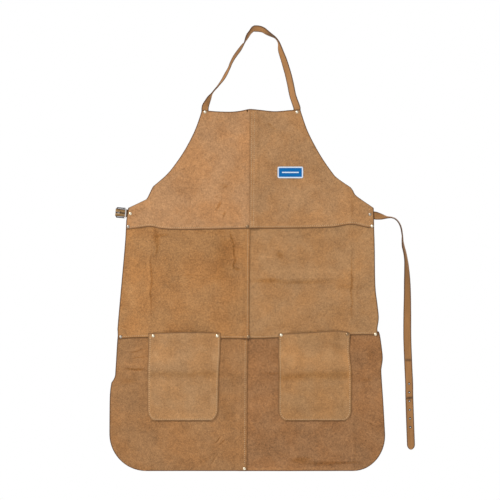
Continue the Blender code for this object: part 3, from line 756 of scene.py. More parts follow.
def stitches(name, lines):
    """Rows of sewing, seen on both sides. Each line is its x, z points, the front sheet's depth and the back's."""
    shape, shape_faces = spun(STITCH, 6)
    points, faces, kinds = [], [], []

    def add(place, direction, size, kind):
        """One stretched copy of the shape. Its axis lies along the direction."""
        ux, uz = direction
        start = len(points)
        for out, along, up in shape:
            lx, ly, lz = along * size[0], out * size[1], up * size[2]
            points.append((place[0] + lx * ux - lz * uz, place[1] + ly, place[2] + lx * uz + lz * ux))
        faces.extend(tuple(start + i for i in face) for face in shape_faces)
        kinds.extend([kind] * len(shape_faces))

    thread_size = (STITCH_LENGTH, STITCH_RADIUS, STITCH_RADIUS)
    hole_size = (2 * NEEDLE_RADIUS, 0.16, NEEDLE_RADIUS)
    ahead = STITCH_PITCH / 2
    for line, front_y, back_y in lines:
        x, z, dx, dz = along_line(line)
        for surface, outward in ((front_y(x, z) - THICK / 2 + 0.25, -1), (back_y(x, z) + THICK / 2, 1)):
            for px, py, pz, ux, uz in zip(x, surface, z, dx, dz):
                add((px, py + outward * 0.2, pz), (ux, uz), thread_size, 0)
                # Painted shade: a flat dark lens at each needle hole stands in for the shade inside it.
                add((px + ux * ahead, py + outward * 0.02, pz + uz * ahead), (ux, uz), hole_size, 1)
    mesh = mesh_from(name, points, faces)
    mesh.polygons.foreach_set("material_index", kinds)
    mesh.shade_smooth()
    return new_object(name, mesh, THREAD, NEEDLE_HOLE_SHADE)


CAP = [(0.0, 1.75), (1.1, 1.7), (2.1, 1.45), (2.9, 1.08), (3.5, 0.66), (3.9, 0.3), (4.1, 0.1), (4.0, -0.05)]
POST_RADIUS = 1.5


def rivet(node, body, front_y, back_y, metal=None):
    """A double-cap rivet through a stack, seated on the stack's front and back faces."""
    x, _, z = middle(node)
    face = float(front_y(x, z)) - THICK / 2
    rear = float(back_y(x, z)) + THICK / 2
    profile = [(r, face - h) for r, h in CAP] + [(POST_RADIUS, face + 0.1), (POST_RADIUS, rear - 0.1)]
    profile += [(r, rear + 0.75 * h) for r, h in reversed(CAP)]
    points, faces = spun(profile, 28)
    mesh = mesh_from(node + "_cap", [(x + px, py, z + pz) for px, py, pz in points], faces)
    # Painted shade: each cap darkens towards its rim.
    set_values(mesh, "shade", [0.8 * float(ramp(math.hypot(px, pz), 2.6, 4.0)) for px, _, pz in points])
    mesh.shade_smooth()
    declare(new_object(node + "_cap", mesh, metal or STEEL), "nickel", body, node)


# ---------------------------------------------------------------- straps


CUP = 2.4  # how deep a strap's section curls where it is twisted edge-on


def section(centre, along, twist, width):
    """A strap's rounded cross-section, in the apron's millimetres. Twist 0 shows its whole width to the front."""
    turn = math.radians(twist)
    flat = Vector((-along.z, 0, along.x)).normalized()
    across = flat * math.cos(turn) + flat.cross(along).normalized() * math.sin(turn)
    out = along.cross(across).normalized()
    cup = CUP * math.sin(turn) ** 2
    return [centre + across * a + out * (b + cup * (0.5 - (2 * a / width) ** 2)) for a, b in strap_profile(width)]


def strap_profile(width):
    """Across and outwards, round a strap's section: two faces, with a dark band of burnish and painted shade beside
    each rounded edge.
    """
    half, t = width / 2, THICK / 2
    soft = min(0.4, half / 3)
    dark, pale = min(1.9, half * 0.45), min(3.0, half * 0.7)
    one = [(-half + soft, -t), (-half + dark, -t - 0.03), (-half + pale, -t - 0.06), (0, -t - 0.1),
           (half - pale, -t - 0.06), (half - dark, -t - 0.03), (half - soft, -t), (half, -t + soft)]
    return one + [(-a, -b) for a, b in one]


STRAP_SHADE = [1, 0.8, 0.05, 0, 0.05, 0.8, 1, 1] * 2  # how dark each point of the section is painted: burnish, and painted shade along the strap's outline


def swept(name, rings, flat, *materials):
    """A strap through rings of points, with its map, its dark edges of burnish and painted shade, and its shading."""
    size = len(STRAP_SHADE)
    mesh = mesh_from(name, sum(rings, []), tube_faces(len(rings), size))
    set_flat(mesh, flat)
    set_values(mesh, "edge", STRAP_SHADE * len(rings))
    beside = {size // 2 - 2, size // 2 - 1, size - 2, size - 1}
    sides = [int(k % size in beside) for k in range(size * (len(rings) - 1))] + [1, 1]
    mesh.polygons.foreach_set("material_index", sides)
    mesh.shade_smooth()
    mesh.set_sharp_from_angle(angle=math.radians(55))
    return new_object(name, mesh, *materials)


def strap(name, samples, widths, directions, leather):
    """A closed strap through x, y, z, twist samples. directions fixes where it points at some of them."""
    centres = [Vector(s[:3]) for s in samples]
    rings, flat, run = [], [], 0.0
    for i, (centre, sample) in enumerate(zip(centres, samples)):
        along = (centres[min(i + 1, len(centres) - 1)] - centres[max(i - 1, 0)]).normalized()
        along = Vector(directions.get(i, along))
        run += (centre - centres[max(i - 1, 0)]).length
        rings.append(section(centre, along, sample[3], widths[i]))
        flat += [(a, run) for a, b in strap_profile(widths[i])]
    return swept(name, rings, flat, leather, SIDE)


def as_cord(samples):
    """Works out a strap's centre line and length, and does nothing with them."""
    path = [world(*s[:3]) for s in samples]
    length = sum(math.dist(a[:3], b[:3]) for a, b in zip(samples, samples[1:])) * MM
    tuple(path[0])


def cut_away(obj, outlines, depths, place):
    """Cuts straight holes through a strap. place turns x, depth and z into the apron's millimetres."""
    points, faces = [], []
    for outline in outlines:
        start = len(points)
        points += [place(x, y, z) for y in depths for x, z in outline]
        faces += [tuple(start + i for i in face) for face in tube_faces(2, len(outline))]
    cutter = new_object("cutter", mesh_from("cutter", points, faces), SIDE)
    cut = obj.modifiers.new("cut", "BOOLEAN")
    cut.operation, cut.solver, cut.object = "DIFFERENCE", "EXACT", cutter
    settle(obj)
    bpy.data.objects.remove(cutter)
    obj.data.shade_smooth()
    obj.data.set_sharp_from_angle(angle=math.radians(40))


# ---------------------------------------------------------------- materials in use

STEEL = plated("nickel_bright", (1.0, 0.88, 0.66), 0.3, 0.45, 0.15)
STEEL_DULL = plated("nickel_dull", (0.56, 0.49, 0.41), 0.3, 0.5)
BRASS_WORN = plated("rivet_worn", (0.42, 0.27, 0.15), 0.3, 0.5)
# Painted dark reflection and painted highlight: the buckle is painted near black but for its bright free bar.
BUCKLE_STEEL = plated("buckle_plate", (0.93, 0.91, 0.89), 0.2, 0.4, 0.2, dark=(0.045, 0.034, 0.038))
THREAD = thread("sewing_thread", (0.68, 0.47, 0.27))
# Painted shade for the needle holes.
NEEDLE_HOLE_SHADE = cut_edge("needle_hole_shade", (0.06, 0.03, 0.014))
SIDE = cut_edge("leather_side")
HOLE_COUNT, HOLE_TOP_Z, HOLE_SPACING, HOLE_RADIUS = 6, 218, 21.8, 1.1
WAIST_HOLE_RUN = 496  # from the strap's riveted end to its first hole
# Painted shade on the straps: the neck strap darker where it turns edge-on, the waist strap where it turns edge-on
# beside the bib, across two folds and round its holes, and the tab under the buckle frame.
STRAP_LEATHER = grain_leather("strap_leather", (0.40, 0.188, 0.062),
                              [(0, 195, 60, 130, 0, -0.3), (0, 314, 60, 64, 0, -0.6)])
WAIST_MARKS = [(0, 112, 80, 140, 0, -0.4), (0, 437, 34, 12, 4, -0.6), (0, 532, 34, 12, -5, -0.8)]
WAIST_MARKS += [(0, WAIST_HOLE_RUN + k * HOLE_SPACING, 8, 8, 0, -2.2) for k in range(HOLE_COUNT)]
WAIST_LEATHER = grain_leather("waist_leather", (0.37, 0.172, 0.055), WAIST_MARKS)
TAB_LEATHER = grain_leather("tab_leather", (0.33, 0.19, 0.07), [(0, 19.5, 26, 9, 0, -0.62), (3, 37, 16, 4, 35, -0.5)])

# Marks on each panel: x, z, length, width, angle, strength. A dark band beside a pale one along a fold or crease is
# painted shade and painted light; the rest are stains and uneven tone.
BIB_LEFT_MARKS = [
    (-78, 662, 50, 7, 62, -0.26), (-66, 640, 34, 7, 75, -0.26), (-84, 686, 20, 7, 30, -0.2),
    (-6.8, 901, 5, 12, 0, -1.3), (-292, 652, 4, 4, 0, -0.6), (-286, 655, 4, 4, 0, -0.6), (-286, 641, 4, 4, 0, -0.6),
    (-292, 638.5, 4, 4, 0, -0.6), (-66, 714, 46, 26, 0, -0.12), (-61, 711, 16, 7, 20, -0.21),
    (-80, 665, 44, 7, 62, -0.19), (-68, 645, 20, 6, 55, -0.15), (-250, 660, 30, 60, 20, 0.1),
    (-232, 692, 70, 8, 45, 0.11), (-152, 800, 44, 4, 58, 0.15), (-134, 845, 34, 4, 68, 0.13),
    (-60, 850, 120, 60, 0, 0.05), (-180, 660, 160, 70, 0, 0.06), (-130, 706, 230, 6, 0, -0.05),
    (-130, 712, 230, 8, 0, 0.04), (-246, 640, 6, 80, 0, -0.07), (-40, 760, 60, 120, 0, -0.03),
    (-20, 690, 30, 150, 0, 0.04), (-100, 780, 90, 30, 30, -0.05),
]
BIB_RIGHT_MARKS = [
    (-6.8, 901, 5, 12, 0, -1.3), (298.5, 654.5, 4, 4, 0, 0.7), (298.5, 624, 4, 4, 0, 0.7),
    (48, 866, 26, 8, 150, -0.18), (60, 858, 30, 6, 160, -0.13), (60, 850, 90, 40, 150, -0.06),
    (110, 700, 200, 90, 20, 0.06), (254, 655, 9, 110, 0, -0.13), (268, 650, 20, 90, 0, 0.06),
    (160, 760, 150, 60, 120, -0.06), (130, 706, 230, 6, 0, -0.04), (25, 740, 30, 280, 0, 0.04),
    (180, 640, 150, 50, 0, 0.06), (20, 630, 60, 30, 0, -0.07),
]
WAIST_LEFT_MARKS = [
    (-47, 585, 7, 46, 12, -0.3), (-40, 545, 7, 60, 8, -0.3), (-41, 515, 7, 30, -10, -0.35),
    (-36, 506, 22, 8, 0, -0.25), (-247, 470, 9, 300, 0, -0.24), (-254, 470, 12, 290, 0, 0.11),
    (-234, 580, 30, 100, 8, -0.24), (-220, 590, 60, 16, 8, -0.2), (-236, 548, 10, 60, 160, -0.16),
    (-60, 560, 130, 120, 0, -0.16), (-70, 500, 120, 130, 20, -0.15), (-100, 598, 110, 26, 0, -0.1),
    (-290, 470, 60, 300, 0, 0.09), (-170, 430, 140, 60, 0, 0.07), (-42, 565, 5, 60, 8, -0.22),
    (-38, 520, 5, 50, 350, -0.2), (-30, 502, 26, 8, 0, -0.18), (-150, 488, 150, 5, 0, -0.15),
    (-130, 480, 200, 6, 0, -0.1), (-140, 494, 160, 7, 0, 0.06), (-318, 362, 44, 5, 162, -0.2),
    (-318, 369, 44, 6, 162, 0.12), (-200, 350, 160, 16, 0, -0.06), (-290, 372, 60, 24, 10, 0.06),
    (-180, 600, 60, 20, 0, 0.06),
]
WAIST_RIGHT_MARKS = [
    (75, 540, 44, 30, -30, -0.26), (42, 534, 54, 6, -6, 0.2), (120, 475, 520, 30, 0, -0.12),
    (170, 500, 260, 22, 0, 0.10), (45, 474, 110, 20, 0, -0.16), (120, 470, 160, 16, 3, -0.12),
    (60, 462, 110, 10, 0, -0.10), (254, 470, 8, 280, 0, -0.26), (263, 470, 12, 280, 0, 0.1),
    (100, 560, 150, 70, 0, 0.14), (276, 540, 60, 120, 0, 0.1), (250, 460, 160, 26, 0, -0.14),
    (210, 400, 160, 70, 10, -0.09), (150, 484, 280, 7, 0, 0.1), (40, 400, 80, 80, 0, 0.07),
    (90, 360, 180, 30, 0, -0.07), (190, 590, 120, 30, 0, 0.1),
]
SKIRT_LEFT_MARKS = [
    (-283, 300, 70, 6, 12, -0.28), (-283, 306, 70, 6, 12, 0.17), (-278, 283, 60, 6, 4, -0.25),
    (-288, 254, 74, 12, 176, -0.42), (-295, 268, 60, 8, 0, 0.14), (-300, 226, 70, 30, 0, -0.17),
    (-320, 150, 60, 120, 0, 0.1), (-80, 79, 34, 4, 55, -0.48), (-76, 77, 34, 4, 55, 0.42),
    (-70, 72, 34, 4, 55, -0.36), (-66, 69, 30, 4, 55, 0.31), (-92, 30, 40, 4, 52, -0.28), (-87, 29, 40, 4, 52, 0.22),
    (-60, 150, 60, 120, 20, -0.11), (-110, 30, 100, 14, 30, -0.11), (-40, 290, 50, 60, 0, 0.14),
    (-200, 60, 260, 60, 0, 0.06), (-40, 225, 70, 80, 0, -0.11), (-170, 100, 180, 30, 0, -0.07),
    (-30, 120, 20, 160, 0, 0.08), (-300, 60, 70, 60, 30, -0.08),
]
SKIRT_RIGHT_MARKS = [
    (128, 27, 90, 26, 3, -0.3), (190, 19, 180, 18, 2, -0.28), (250, 21, 120, 14, 0, -0.16),
    (20, 310, 60, 60, 0, 0.08), (290, 250, 50, 60, 0, 0.11), (300, 124, 70, 6, 160, 0.22),
    (300, 118, 70, 6, 160, -0.17), (30, 60, 120, 80, 0, -0.07), (60, 6, 460, 12, 0, 0.2), (255, 60, 6, 130, 0, 0.2),
    (262, 60, 8, 130, 0, -0.1), (300, 290, 30, 70, 0, -0.1), (60, 244, 120, 12, 0, -0.17),
    (45, 262, 100, 20, 0, 0.07), (290, 230, 50, 30, 0, -0.17), (120, 95, 220, 40, 0, -0.08),
    (40, 180, 50, 100, 0, 0.07), (180, 60, 120, 40, 20, 0.07),
]
POCKET_LEFT_MARKS = [
    (-165, 242, 900, 36, 0, -0.15), (-165, 279, 900, 46, 0, 0.13), (-110, 300, 90, 10, 145, 0.06),
    (-170, 318, 130, 8, 165, -0.06), (-235, 300, 30, 90, 0, 0.07), (-200, 170, 120, 70, 0, -0.06),
    (-150, 140, 150, 20, 0, 0.06), (-110, 200, 60, 60, 0, 0.05),
]
POCKET_RIGHT_MARKS = [
    (162, 238, 900, 38, 2, -0.22), (162, 284, 900, 64, -2, 0.16), (190, 222, 150, 16, 0, -0.06),
    (215, 325, 80, 7, 165, 0.12), (205, 317, 80, 7, 168, -0.10), (160, 300, 110, 8, 160, -0.06),
    (120, 330, 90, 20, 10, 0.06), (110, 160, 80, 60, 0, -0.06), (232, 160, 20, 70, 0, -0.09),
    (175, 140, 90, 20, 0, 0.06), (150, 200, 200, 60, 0, -0.06),
]

BIB_COLOUR_LEFT, BIB_COLOUR_RIGHT = (0.442, 0.226, 0.097), (0.398, 0.208, 0.087)
WAIST_COLOUR_LEFT, WAIST_COLOUR_RIGHT = (0.388, 0.187, 0.066), (0.393, 0.205, 0.083)
SKIRT_COLOUR_LEFT, SKIRT_COLOUR_RIGHT = (0.337, 0.166, 0.064), (0.312, 0.149, 0.059)
POCKET_COLOUR_LEFT, POCKET_COLOUR_RIGHT = (0.413, 0.220, 0.092), (0.386, 0.201, 0.080)


# ---------------------------------------------------------------- the apron's pieces


def panels():
    """The six panels, each between its side outlines and with its own hide's colour."""
    bib_rows = heights(BIB_EDGE_Z, TOP_Z, BIB_STEPS_Z)
    waist_rows = heights(SKIRT_SEAM_Z, WAIST_TOP_Z)
    skirt_rows = heights(0, SKIRT_TOP_Z, [p[1] for p in hem_corner(0, 1, 90)])
    waist_centre = [(0, WAIST_TOP_Z), (-1, 500), (-2.5, SKIRT_SEAM_Z)]
    skirt_centre = [(-5.5, SKIRT_TOP_Z), (-7, 180), (-8, 0)]

    def upright(x):
        return [(x, TOP_Z), (x, 0)]

    bib = {"top": BIB_TOP_EDGE, "bottom": BIB_LOW_EDGE}
    waist = {"bottom": WAIST_LOW_EDGE}
    for row, side, left, right, rows, depth, hide, edge_darkness, sewing, edges in (
            ("bib", "left", BIB_LEFT_SIDE, upright(BIB_CENTRE_X + LAP), bib_rows, bib_left_y,
             (BIB_COLOUR_LEFT, 1, BIB_LEFT_MARKS), (0.75, 0, 1, 1), [BIB_SEAM], bib),
            ("bib", "right", upright(BIB_CENTRE_X), BIB_RIGHT_SIDE, bib_rows, bib_right_y,
             (BIB_COLOUR_RIGHT, 2, BIB_RIGHT_MARKS), (0.75, 1, 1, 0.25), [BIB_SEAM, *BIB_CENTRE_SEAMS], bib),
            ("waist", "left", WAIST_LEFT_SIDE, waist_centre, waist_rows, waist_left_y,
             (WAIST_COLOUR_LEFT, 3, WAIST_LEFT_MARKS, 1.15), (0.8, 0.25, 0, 1), [LOW_SEAM, WAIST_CENTRE_SEAM], waist),
            ("waist", "right", upright(WAIST_CENTRE_X - LAP), WAIST_RIGHT_SIDE, waist_rows, waist_right_y,
             (WAIST_COLOUR_RIGHT, 4, WAIST_RIGHT_MARKS, 0.9), (0.8, 1, 0, 0), [LOW_SEAM], waist),
            ("skirt", "left", SKIRT_LEFT_SIDE, skirt_centre, skirt_rows, skirt_left_y,
             (SKIRT_COLOUR_LEFT, 5, SKIRT_LEFT_MARKS, 1.2), (0.9, 0.25, 0, 1), [SKIRT_CENTRE_SEAM], {}),
            ("skirt", "right", upright(SKIRT_CENTRE_X - LAP), SKIRT_RIGHT_SIDE, skirt_rows, skirt_right_y,
             (SKIRT_COLOUR_RIGHT, 6, SKIRT_RIGHT_MARKS, 1.2), (0.9, 1, 0, 0), [], {})):
        name = f"{row}_{side}"
        obj = cut_sheet(name, left, right, rows, depth, (suede("suede_" + name, *hide), SIDE), edge_darkness=edge_darkness,
                        sewing=sewing, **edges)
        bends = row == "waist"
        hang(obj, f"{row}_panel_{side}", (name if bends else row) + "_leather", None if bends else row)
        if bends:
            across_fold(obj)


def hinge_place(joint):
    return Vector(next(j for j in frame["joints"] if j["name"] == joint)["pos_m"])


def across_fold(obj):
    """Looks up the hinge of the fold between the bib and the skirt, and bakes the piece's placing into its mesh; it
    does not bend it.
    """
    start = hinge_place("skirt_fold")
    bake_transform(obj)


def pockets():
    rows = heights(POCKET_BOTTOM, 346, [POCKET_BOTTOM + p[1] for p in hem_corner(0, 1, POCKET_CORNER[1], 10)])
    for side, sides, top, depth, hide, seam in (
            ("left", POCKET_LEFT_SIDES, POCKET_LEFT_TOP, pocket_left_y,
             (POCKET_COLOUR_LEFT, 7, POCKET_LEFT_MARKS, 0.9), POCKET_LEFT_SEAM),
            ("right", POCKET_RIGHT_SIDES, POCKET_RIGHT_TOP, pocket_right_y,
             (POCKET_COLOUR_RIGHT, 8, POCKET_RIGHT_MARKS, 0.9), POCKET_RIGHT_SEAM)):
        obj = cut_sheet("patch_pocket_" + side, *sides, rows, depth, (suede("suede_pocket_" + side, *hide), SIDE),
                        top=top, edge_darkness=(0.9, 0.5, 0.6, 0.5), sewing=[seam])
        hang(obj, "pocket_" + side, "pocket_leather", "skirt")


def seams():
    """Every row of sewing, on the piece that it is seen on."""
    rows = [(BIB_SEAM, bib_front, waist_back)]
    rows += [(line, bib_right_y, bib_left_y) for line in BIB_CENTRE_SEAMS]
    declare(stitches("bib_stitching", rows), "strap_leather", "bib")

    centre = stitches("waist_stitching", [(WAIST_CENTRE_SEAM, waist_left_y, waist_right_y)])
    declare(centre, "waist_left_leather", None)
    across_fold(centre)

    for name, rows in (
            ("skirt_stitching",
             [(LOW_SEAM, waist_front, skirt_back), (SKIRT_CENTRE_SEAM, skirt_left_y, skirt_right_y)]),
            ("pocket_stitching_left", [(POCKET_LEFT_SEAM, pocket_left_y, skirt_back)]),
            ("pocket_stitching_right", [(POCKET_RIGHT_SEAM, pocket_right_y, skirt_back)])):
        declare(stitches(name, rows), "strap_leather", "skirt")


def rivets():
    def strap_back(x, z):
        return PITCH

    def tab_back(x, z):
        return 2 * PITCH

    rivet("neck_rivet_left", "bib", bib_left_y, strap_back)
    rivet("neck_rivet_right", "bib", bib_right_y, strap_back)
    rivet("tab_rivet", "buckle_tab", bib_left_y, tab_back)
    rivet("strap_rivet", "strap_end", bib_right_y, strap_back, STEEL_DULL)
    rivet("waist_rivet_left", "bib", bib_left_y, waist_back, STEEL_DULL)
    rivet("waist_rivet_centre", "bib", bib_left_y, waist_back, BRASS_WORN)
    rivet("waist_rivet_right", "bib", bib_right_y, waist_back)
    rivet("seam_rivet_left", "skirt", waist_left_y, skirt_back, STEEL_DULL)
    rivet("seam_rivet_centre", "skirt", waist_left_y, skirt_back, BRASS_WORN)
    rivet("seam_rivet_right", "skirt", waist_right_y, skirt_back)
    rivet("pocket_rivet_1", "skirt", pocket_left_y, skirt_back)
    rivet("pocket_rivet_2", "skirt", pocket_left_y, skirt_back)
    rivet("pocket_rivet_3", "skirt", pocket_right_y, skirt_back)
    rivet("pocket_rivet_4", "skirt", pocket_right_y, skirt_back, BRASS_WORN)
    rivet("hem_rivet", "skirt", skirt_left_y, skirt_right_y)


LABEL_THICK, LABEL_CORNER, LABEL_GAP = 0.7, 4, 0.15
BORDER = [(-1, 0.3), (-0.8, -0.35), (-0.4, -0.85), (0, -1), (0.4, -0.85), (0.8, -0.35), (1, 0.3)]  # its half section
BORDER_INSET, BORDER_HALF_WIDTH, BORDER_RISE = 1.7, 1.8, 0.55
STRIPE_INSET, STRIPE_HALF_HEIGHT, STRIPE_THICK = 11, 1.5, 0.3


def label_y(x, z):
    return bib_right_y(x, z) - THICK / 2 - LABEL_GAP - LABEL_THICK / 2


def label():
    """A plain woven patch with a raised border and one pale stripe."""
    low, high = (apron(p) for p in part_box("label_patch"))
    left, right, bottom, top = low[0], high[0], low[2], high[2]

    def side(edge, inward, inset=0):
        """One side with its two rounded corners, top to bottom."""
        r, upper = LABEL_CORNER - inset, []
        for a in (math.radians(15 * k) for k in range(7)):
            upper.append([edge + inward * (LABEL_CORNER - r * math.sin(a)), top - LABEL_CORNER + r * math.cos(a)])
        return upper + [[x, bottom + top - z] for x, z in reversed(upper)]

    rows = [z for _, z in side(left, 1)]
    rows = np.unique(np.concatenate([rows, np.linspace(bottom + LABEL_CORNER, top - LABEL_CORNER, 9)]))
    blue = woven("label_blue", (0.001, 0.104, 0.32), (0.002, 0.15, 0.44))
    silver = woven("label_border", (0.80, 0.85, 0.92), (0.60, 0.68, 0.80), 1100.0)
    patch = cut_sheet("label_cloth", side(left, 1), side(right, -1), rows, label_y, (blue, blue), thick=LABEL_THICK,
                      cell=3)
    del patch["cut"]
    declare(patch, "woven_label", "bib", "label_patch")

    right_side = side(right, -1, BORDER_INSET)
    path = right_side[6::-1] + side(left, 1, BORDER_INSET) + right_side[:6:-1]
    dense = []
    for a, b in zip(path, path[1:] + path[:1]):
        pieces = max(1, round(math.dist(a, b) / 1.5))
        dense += [(a[0] + (b[0] - a[0]) * k / pieces, a[1] + (b[1] - a[1]) * k / pieces) for k in range(pieces)]
    declare(border_band("label_border_band", dense, silver), "woven_label", "bib")

    half, tall = (right - left) / 2 - STRIPE_INSET, STRIPE_HALF_HEIGHT
    mid_x, mid_z = (left + right) / 2, (top + bottom) / 2
    rows = np.linspace(mid_z - tall, mid_z + tall, 5)
    ends = [[[mid_x + s * half, mid_z + tall], [mid_x + s * half, mid_z - tall]] for s in (-1, 1)]
    stripe = cut_sheet("label_stripe", *ends, rows, lambda x, z: label_y(x, z) - LABEL_THICK / 2 - 0.1,
                       (silver, silver), thick=STRIPE_THICK, cell=3)
    del stripe["cut"]
    declare(stripe, "woven_label", "bib")


def border_band(name, path, cloth):
    """A raised ring of cloth along a closed path on the label, half round in section."""
    points, flat, run = [], [], 0.0
    for i, (x, z) in enumerate(path):
        before, after = path[i - 1], path[(i + 1) % len(path)]
        tx, tz = after[0] - before[0], after[1] - before[1]
        size = math.hypot(tx, tz)
        run += math.dist(before, (x, z))
        for across, out in BORDER:
            across *= BORDER_HALF_WIDTH
            px, pz = x + tz / size * across, z - tx / size * across
            points.append((px, float(label_y(px, pz)) - LABEL_THICK / 2 + out * BORDER_RISE, pz))
            flat.append((across, run))
    mesh = mesh_from(name, points, tube_faces(len(path), len(BORDER), closed=True))
    set_flat(mesh, flat)
    mesh.shade_smooth()
    return new_object(name, mesh, cloth)


# Neck strap: x, y, z and twist from face-on, in degrees, listed from each bib corner up to the peg
NECK_WIDTH = 18
APEX = (14, 1105.6)
APEX_TWIST, APEX_FLAT = -32, 6
NECK_BEND_Z, NECK_BEND_LENGTH = 904, 46  # where the strap starts to bend, above its rivets, and over how much
NECK_LEFT = [
    (-112.5, 1.8, 881, 0), (-112.5, 1.8, 894, 0), (-112.3, 1.8, 907, -4), (-110.6, 2.4, 914, -18),
    (-106.8, 4, 922, -38), (-101.2, 5, 933, -56), (-96, 4.3, 942, -80), (-91, 3, 950, -93), (-80.8, 1, 961, -98),
    (-68.1, -2, 977, -110), (-60.3, -4, 990, -115), (-51.5, -5, 1007, -109), (-46.2, -4.5, 1020, -111),
    (-37.4, -3, 1036, -117), (-26, -1, 1052, -118), (-17.8, 0.3, 1064.5, -107), (-12.6, 0.8, 1073.5, -87),
    (-7.6, 1, 1082.5, -69), (-3.9, 1, 1090, -64), (1.5, 0.8, 1097, -64),
]
NECK_RIGHT = [
    (25, 0.5, 1105, -36), (33.5, 0.3, 1102, -45), (41.8, 0, 1096, -53), (51.8, 0, 1089.5, -67), (64, 1, 1082, -84),
    (71, 2, 1072, -80), (74.9, 3, 1056, -53), (78.3, 3.4, 1045, -43), (84.3, 4, 1029, -34), (90.5, 5, 1009, -28),
    (96, 5.5, 990, -24), (101.5, 5, 966, -21), (106.5, 4, 941, -20), (112, 3, 924, -18), (115.9, 2.2, 913, -8),
    (117.5, 1.8, 907, -2), (117.5, 1.8, 894, 0), (117.5, 1.8, 881, 0),
]


def neck_strap():
    """One strap from the left bib corner over the peg to the right one, both ends riveted behind the bib."""
    turn = math.radians(APEX_TWIST)
    y, z = np.array((0, APEX[1])) - np.array((-math.cos(turn), math.sin(turn))) * THICK / 2
    half = APEX_FLAT / 2
    level_in = (APEX[0] - half - 4.5, y, z - 3.1, APEX_TWIST - 20)
    level_out = (APEX[0] + half + 4, y, z - 0.3, APEX_TWIST - 1)
    left = bend([*NECK_LEFT, level_in, (APEX[0] - half, y, z, APEX_TWIST)], 3.5)
    right = bend([(APEX[0] + half, y, z, APEX_TWIST), level_out, *NECK_RIGHT], 3.5)
    samples = left + right
    level, last = (1, 0, 0), len(samples) - 1
    directions = {0: (0, 0, 1), len(left) - 1: level, len(left): level, last: (0, 0, -1)}
    obj = strap("neck_strap_leather", samples, [NECK_WIDTH] * len(samples), directions, STRAP_LEATHER)
    declare(obj, "strap_leather", None, "neck_strap", "neck_strap_end_left", "neck_strap_end_right")
    as_cord(samples)
    low = world(0, 0, NECK_BEND_Z)
    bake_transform(obj)


WAIST_WIDTH = 20
WAIST_STRAP = [
    (287, 1.8, 641.5, 0), (299, 1.8, 640.2, 0), (313, 1.9, 638.6, 0), (320, 3.5, 637.5, 22), (331, 4.1, 636, 48),
    (342, 3.5, 635, 74), (352.5, 3, 634, 88), (362.5, 3, 631, 90), (371.5, 3, 622.5, 90), (378, 3, 608, 90),
    (381, 3, 588, 87), (382, 2.8, 576, 79), (384, 2.7, 562, 70), (387.6, 2.5, 548, 67), (390.4, 2.5, 532, 64),
    (391.8, 2.5, 518, 57), (392.5, 2.5, 502, 49), (393, 2.5, 488, 42), (393.3, 2.5, 472, 34), (393.7, 2.5, 440, 24),
    (393.4, 2.5, 390, 8), (393.5, 2.5, 330, 0), (396, 2.5, 263, 0), (398, 2.5, 218, 0), (398.5, 2.5, 183, 0),
    (401, 2.5, 107, 0), (403, 2.5, 53, 0),
]
TIP_LENGTH = 13


def waist_strap():
    """The long strap: riveted behind the bib, a half turn beside it, then hanging, with holes and a point."""
    samples = bend(WAIST_STRAP, 4)
    shoulder = samples[-1][2] + TIP_LENGTH
    samples = [s for s in samples if s[2] > shoulder + 1]
    tip_x, strap_y = WAIST_STRAP[-1][:2]
    widths = [WAIST_WIDTH] * len(samples)
    for share in (1.0, 0.97, 0.9, 0.8, 0.66, 0.48, 0.26, 0.1):
        drop = math.sqrt(1 - share ** 1.7)
        samples.append([tip_x - 0.5 * (1 - drop), strap_y, shoulder - TIP_LENGTH * drop, 0])
        widths.append(max(WAIST_WIDTH * share, 2.4))
    obj = strap("waist_strap_leather", samples, widths, {0: (1, 0, 0), len(samples) - 1: (0, 0, -1)}, WAIST_LEATHER)
    holes = []
    for i in range(HOLE_COUNT):
        z = HOLE_TOP_Z - i * HOLE_SPACING
        a, b = next((a, b) for a, b in zip(samples, samples[1:]) if a[2] >= z > b[2])
        x = a[0] + (b[0] - a[0]) * (a[2] - z) / (a[2] - b[2])
        holes.append([(x + HOLE_RADIUS * c, z + HOLE_RADIUS * s) for c, s in circle(20)])
    cut_away(obj, holes, (strap_y - 10, strap_y + 10), lambda *place: place)
    declare(obj, "strap_leather", None, "waist_strap", "waist_strap_end")
    as_cord(samples)
    hinge = hinge_place("strap_wrap")
    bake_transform(obj)


# Buckle, in the tab's own frame: x left of the rivet is negative, and the whole leans 5 degrees. The frame lies
# folded back over its tab, with the prong between them.
TILT = Matrix.Rotation(math.radians(5), 3, "Y")
HINGE_BAR, FREE_BAR = (-34.5, 2.7), (-11.9, -3.5)
FRAME_BOW = [(-32.6, 1.2), (-29.5, -1.4), (-26.5, -2.7), (-20, -3.25)]
BUCKLE_HEIGHT, BAR_RADIUS, BAR_CORNER = 26.5, 1.4, 2.4
PRONG_RADIUS, PRONG_Y, PRONG_TIP_X = 0.9, -0.15, -11.2
TAB_WIDTH, TAB_REACH = 19.4, 12
SLOT_HALF_LENGTH, SLOT_HALF_WIDTH = 6.5, 1.5
HIGHLIGHT_FROM = (-15.5, -12.5)  # the frame is painted dark left of the first x, a painted dark reflection, and keeps its bright plate right of the second, a painted highlight


def tab_place(x, y, z):
    """The apron's millimetres of a point of the tab's own frame."""
    turned = TILT @ Vector((x, y, z))
    rivet_x, _, rivet_z = middle("tab_rivet")
    return (rivet_x + turned.x, turned.y, rivet_z + turned.z)


